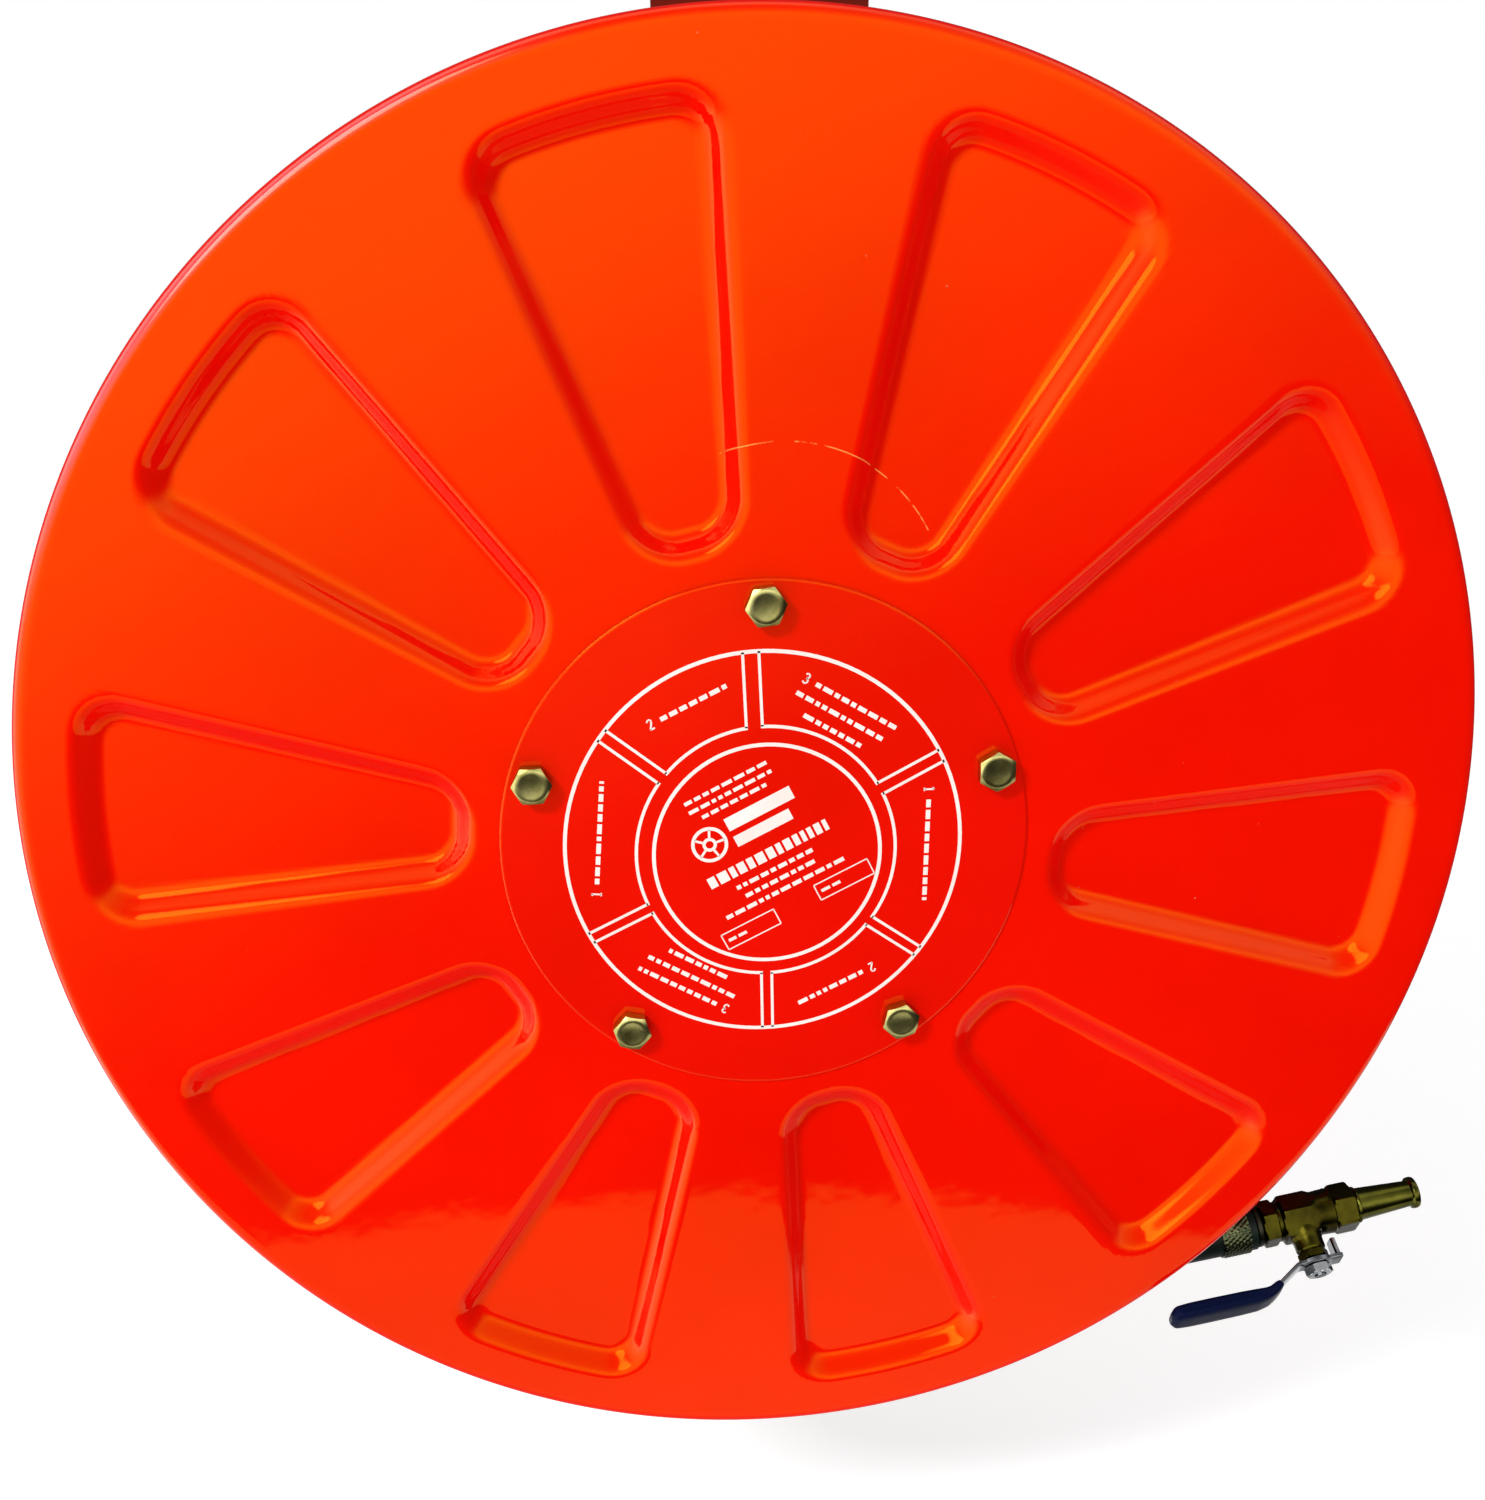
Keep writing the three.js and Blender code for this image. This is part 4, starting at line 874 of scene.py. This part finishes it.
bumps = lambda t, r, x: r + (0.28 * math.sin(30 * t) * math.sin(x * 2.1) if r > 10.6 else 0)
prof = [(-31.5, 10.05), (-31.5, 10.55)] + [(-31.9 - i * 0.6, 10.65) for i in range(20)] + [(-44, 10.55), (-44, 10.05)]
v, f = lathe_x(prof, 180, bumps)
o = mesh_obj("hose_clamp_knurled", xf(NM, v) * MM, f, sharp=50)
# painted shade: the clamp metal is darkened to a green-black, the tone of its shaded underside
M_CLAMP = metal("hose_clamp_shade_darkened", (0.10, 0.11, 0.05), (0.03, 0.036, 0.018), 0.24, patch=120)
put(o, M_CLAMP, "drum", "brass", "hose_ferrule")

# ---- CAD pieces kept as they are: finishes and softened edges -----------------------------------------
KEEP = {
    "wall_bracket": (M_BRACKET, 0.6), "drum_barrel": (M_RED, 0.0), "spindle": (M_GALV, 0.5), "inlet_riser": (M_GALV, 0.3), "water_hub": (M_ALU, 0.3),
    "rear_bush": (M_NYLON, 0.0), "front_bush": (M_NYLON, 0.0), "rear_seal": (M_RUBBER, 0.0), "front_seal": (M_RUBBER, 0.0),
    "rear_thrust_washer": (M_BRASS, 0.0), "front_thrust_washer": (M_BRASS, 0.0), "retaining_ring": (M_STEEL, 0.0),
    "drum_outlet_bend": (M_BRASS, 0.0), "drum_hose_clamp": (M_STEEL, 0.0),
}
for n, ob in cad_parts.items():
    if ob.hide_render:
        continue
    mat, bev = KEEP.get(n, (None, 0.0))
    if mat is None:
        if "seat" in n: mat = M_NYLON
        elif n.endswith("ball"): mat = M_CHROME
        elif n.startswith("spindle_bolt") or n.endswith("stem"): mat, bev = M_STEEL, 0.25
        else: mat = M_BRASS
    ob.data.materials.clear()
    ob.data.materials.append(mat)
    ob.data.polygons.foreach_set("use_smooth", [True] * len(ob.data.polygons))
    ob.data.set_sharp_from_angle(angle=math.radians(32))
    if bev:
        b = ob.modifiers.new("soft_edges", "BEVEL")
        b.width = bev * MM
        b.segments = 2
        b.limit_method = "ANGLE"
        b.angle_limit = math.radians(40)
        b.harden_normals = True

# ---- stage: floor, cards, lights, camera ---------------------------------------------------------------
def stage_mesh(name, verts, faces, mat):
    o = mesh_obj(name, verts, faces, smooth=False)
    o.data.materials.append(mat)
    return o


def emit(name, color, strength):
    m = bpy.data.materials.new(name)
    m.use_nodes = True
    nt = m.node_tree
    nt.nodes.clear()
    out = nt.nodes.new("ShaderNodeOutputMaterial")
    e = nt.nodes.new("ShaderNodeEmission")
    e.inputs["Color"].default_value = (*color, 1)
    e.inputs["Strength"].default_value = strength
    nt.links.new(e.outputs[0], out.inputs["Surface"])
    return m


def card(name, center, toward, w, h, color, strength, camera=False, diffuse=True):
    c = Vector(center)
    d = (Vector(toward) - c).normalized()
    q = d.to_track_quat("Z", "Y")
    X, Y = q @ Vector((1, 0, 0)), q @ Vector((0, 1, 0))
    vs = [c - X * w / 2 - Y * h / 2, c + X * w / 2 - Y * h / 2, c + X * w / 2 + Y * h / 2, c - X * w / 2 + Y * h / 2]
    o = stage_mesh(name, [tuple(p) for p in vs], [(0, 1, 2, 3)], emit(name + "_m", color, strength))
    o.visible_camera = camera
    o.visible_diffuse = diffuse
    o.visible_shadow = False
    return o


fm, fnt, fb = new_mat("floor_pale")
fb.inputs["Base Color"].default_value = (0.95, 0.95, 0.95, 1)
fb.inputs["Roughness"].default_value = 0.9
fb.inputs["Emission Color"].default_value = (1, 1, 1, 1)
fb.inputs["Emission Strength"].default_value = 0.42
fn = tex(fnt, "noise", 3, 2)
fnt.links.new(ramp(fnt, fn.outputs["Fac"], [(0.3, (0.94, 0.94, 0.94)), (0.7, (0.965, 0.965, 0.965))]), fb.inputs["Base Color"])
FZ = -0.42
floor = stage_mesh("floor", [(-9, -9, FZ), (9, -9, FZ), (9, 9, FZ), (-9, 9, FZ)], [(0, 1, 2, 3)], fm)
floor.visible_glossy = False

world = bpy.data.worlds.new("studio")
bpy.context.scene.world = world
world.use_nodes = True
wn = world.node_tree
wn.nodes.clear()


def wnode(kind, **kw):
    n = wn.nodes.new(kind)
    for k, v in kw.items():
        setattr(n, k, v)
    return n


def wmath(op, a, b=None, c=None, clamp=False):
    n = wnode("ShaderNodeMath", operation=op, use_clamp=clamp)
    for i, v in enumerate((a, b, c)):
        if v is None:
            continue
        if isinstance(v, (int, float)):
            n.inputs[i].default_value = v
        else:
            wn.links.new(v, n.inputs[i])
    return n.outputs[0]


def wramp(x, x0, x1, stops):
    """Piecewise-linear value of x between x0 and x1; stops are (x, value) pairs."""
    n = wnode("ShaderNodeFloatCurve")
    cm = n.mapping
    cu = cm.curves[0]
    top = max(v for _, v in stops)
    pts_ = [((p - x0) / (x1 - x0), v / top) for p, v in stops]
    cu.points[0].location = pts_[0]
    cu.points[1].location = pts_[-1]
    for p in pts_[1:-1]:
        cu.points.new(*p)
    for p in cu.points:
        p.handle_type = "VECTOR"
    cm.update()
    t = wmath("DIVIDE", wmath("SUBTRACT", x, x0), x1 - x0, clamp=True)
    wn.links.new(t, n.inputs["Value"])
    return wmath("MULTIPLY", n.outputs[0], top)


geo = wnode("ShaderNodeTexCoord")
sep = wnode("ShaderNodeSeparateXYZ")
wn.links.new(geo.outputs["Generated"], sep.inputs[0])
DEG = 180 / math.pi
el = wmath("MULTIPLY", wmath("ARCSINE", sep.outputs["Z"]), DEG)
az = wmath("MULTIPLY", wmath("ARCTAN2", sep.outputs["X"], wmath("MULTIPLY", sep.outputs["Y"], -1)), DEG)   # 0 = straight out in front, + to the right
slope = wmath("SUBTRACT", el, wmath("MULTIPLY", az, 0.45))
# bright window high on the left, fading to the right and downward
glow = wramp(slope, -40, 60, [(-40, 0.05), (-24, 0.07), (-18, 0.13), (-13, 0.40), (-8, 0.75), (-4, 1.15), (0, 1.7), (4, 2.1), (18, 2.6), (40, 2.4), (60, 1.6)])
# the near floor, bright below a clear edge
low = wramp(el, -90, -20, [(-90, 0.25), (-62, 0.35), (-50, 0.75), (-43, 1.0), (-32.0, 0.85), (-31.6, 0.0), (-20, 0.0)])
# overhead and behind the viewer's right is dark
over = wramp(el, 0, 90, [(0, 1.0), (22, 0.95), (42, 0.45), (62, 0.28), (90, 0.15)])
behind = wramp(az, -180, 180, [(-180, 0.03), (-125, 0.04), (-112, 0.12), (-102, 0.7), (-80, 1.0), (75, 1.0), (110, 0.25), (180, 0.08)])
gloss = wmath("ADD", wmath("MULTIPLY", wmath("MULTIPLY", glow, over), behind), low)
# pale wall on the left and overhead, seen only in the sloping sides of the pockets
side = wmath("MULTIPLY", wramp(sep.outputs["X"], -1, 1, [(-1, 0.9), (-0.3, 1.0), (0.1, 0.8), (0.35, 0.55), (0.55, 0.7), (0.75, 0.4), (1, 0.0)]),
             wramp(sep.outputs["Y"], -1, 1, [(-1, 0.0), (-0.35, 0.0), (0.0, 1.0), (0.22, 0.9), (0.34, 0.1), (1, 0.02)]))
side = wmath("MULTIPLY", side, wramp(sep.outputs["Z"], -1, 1, [(-1, 0.0), (-0.35, 0.2), (0.0, 0.9), (0.3, 1.0), (1, 1.0)]))
gloss = wmath("ADD", gloss, wmath("MULTIPLY", side, 1.5))
# a strip window up on the left, seen only in rounded edges
ds = wnode("ShaderNodeVectorMath", operation="DOT_PRODUCT")
wn.links.new(geo.outputs["Generated"], ds.inputs[0])
ds.inputs[1].default_value = Vector((-0.50, -0.62, 0.60)).normalized()
strip = wmath("MULTIPLY", wmath("SMOOTH_MIN", wmath("MAXIMUM", wmath("MULTIPLY", wmath("SUBTRACT", ds.outputs["Value"], 0.95), 40.0), 0.0), 1.0, 0.1), 5.0)
gloss = wmath("ADD", gloss, strip)

lp = wnode("ShaderNodeLightPath")
# diffuse light: even, a little stronger from above
dif = wramp(el, -90, 90, [(-90, 0.42), (-5, 0.48), (10, 0.56), (90, 0.66)])
m1 = wnode("ShaderNodeMix", data_type="FLOAT")
wn.links.new(lp.outputs["Is Glossy Ray"], m1.inputs[0])
wn.links.new(dif, m1.inputs[2])
wn.links.new(gloss, m1.inputs[3])
m2 = wnode("ShaderNodeMix", data_type="FLOAT")
wn.links.new(lp.outputs["Is Camera Ray"], m2.inputs[0])
wn.links.new(m1.outputs[0], m2.inputs[2])
m2.inputs[3].default_value = 1.0
bg = wnode("ShaderNodeBackground")
bg.inputs["Color"].default_value = (1, 1, 1, 1)
wn.links.new(m2.outputs[0], bg.inputs["Strength"])
wo = wnode("ShaderNodeOutputWorld")
wn.links.new(bg.outputs[0], wo.inputs["Surface"])


def area(name, loc, target, size, power, color=(1, 1, 1)):
    l = bpy.data.lights.new(name, "AREA")
    l.shape = "RECTANGLE"
    l.size, l.size_y = size
    l.energy = power
    l.color = color
    o = bpy.data.objects.new(name, l)
    bpy.context.scene.collection.objects.link(o)
    o.location = loc
    o.rotation_euler = (Vector(target) - Vector(loc)).to_track_quat("-Z", "Y").to_euler()
    return o


key = area("key", (-1.5, -1.7, 1.5), (0, -0.15, 0), (0.4, 0.4), 41)
key.visible_glossy = False

CAM = Vector((-0.0494, YF * MM - 0.5595, 0.1963))
cd = bpy.data.cameras.new("camera")
cam = bpy.data.objects.new("camera", cd)
bpy.context.scene.collection.objects.link(cam)
right = Vector((0.9972, -0.0738, -0.0064)).normalized()
back = Vector((-0.0644, -0.9055, 0.4195)).normalized()
upv = back.cross(right).normalized()
right = upv.cross(back).normalized()
m = Matrix(((right.x, upv.x, back.x, CAM.x), (right.y, upv.y, back.y, CAM.y), (right.z, upv.z, back.z, CAM.z), (0, 0, 0, 1)))
cam.matrix_world = m
cd.sensor_fit = "VERTICAL"
cd.sensor_height = 36.0
cd.lens = 36.0 * 1592.0 / 1500.0
cd.clip_start = 0.01
cd.shift_x = 0.0007
cd.shift_y = 0.168
bpy.context.scene.camera = cam
fc = cd.driver_add("shift_y")
fc.driver.type = "SCRIPTED"
vr = fc.driver.variables.new()
vr.name = "x"
vr.type = "TRANSFORMS"
vr.targets[0].id = cam
vr.targets[0].transform_type = "LOC_X"
vr.targets[0].transform_space = "WORLD_SPACE"
fc.driver.expression = "0.168 if abs(x + 0.0494) < 0.001 else 0.0"

bpy.context.scene.view_settings.view_transform = "Standard"
bpy.context.scene.view_settings.look = "None"
bpy.context.scene.view_settings.exposure = 0.0
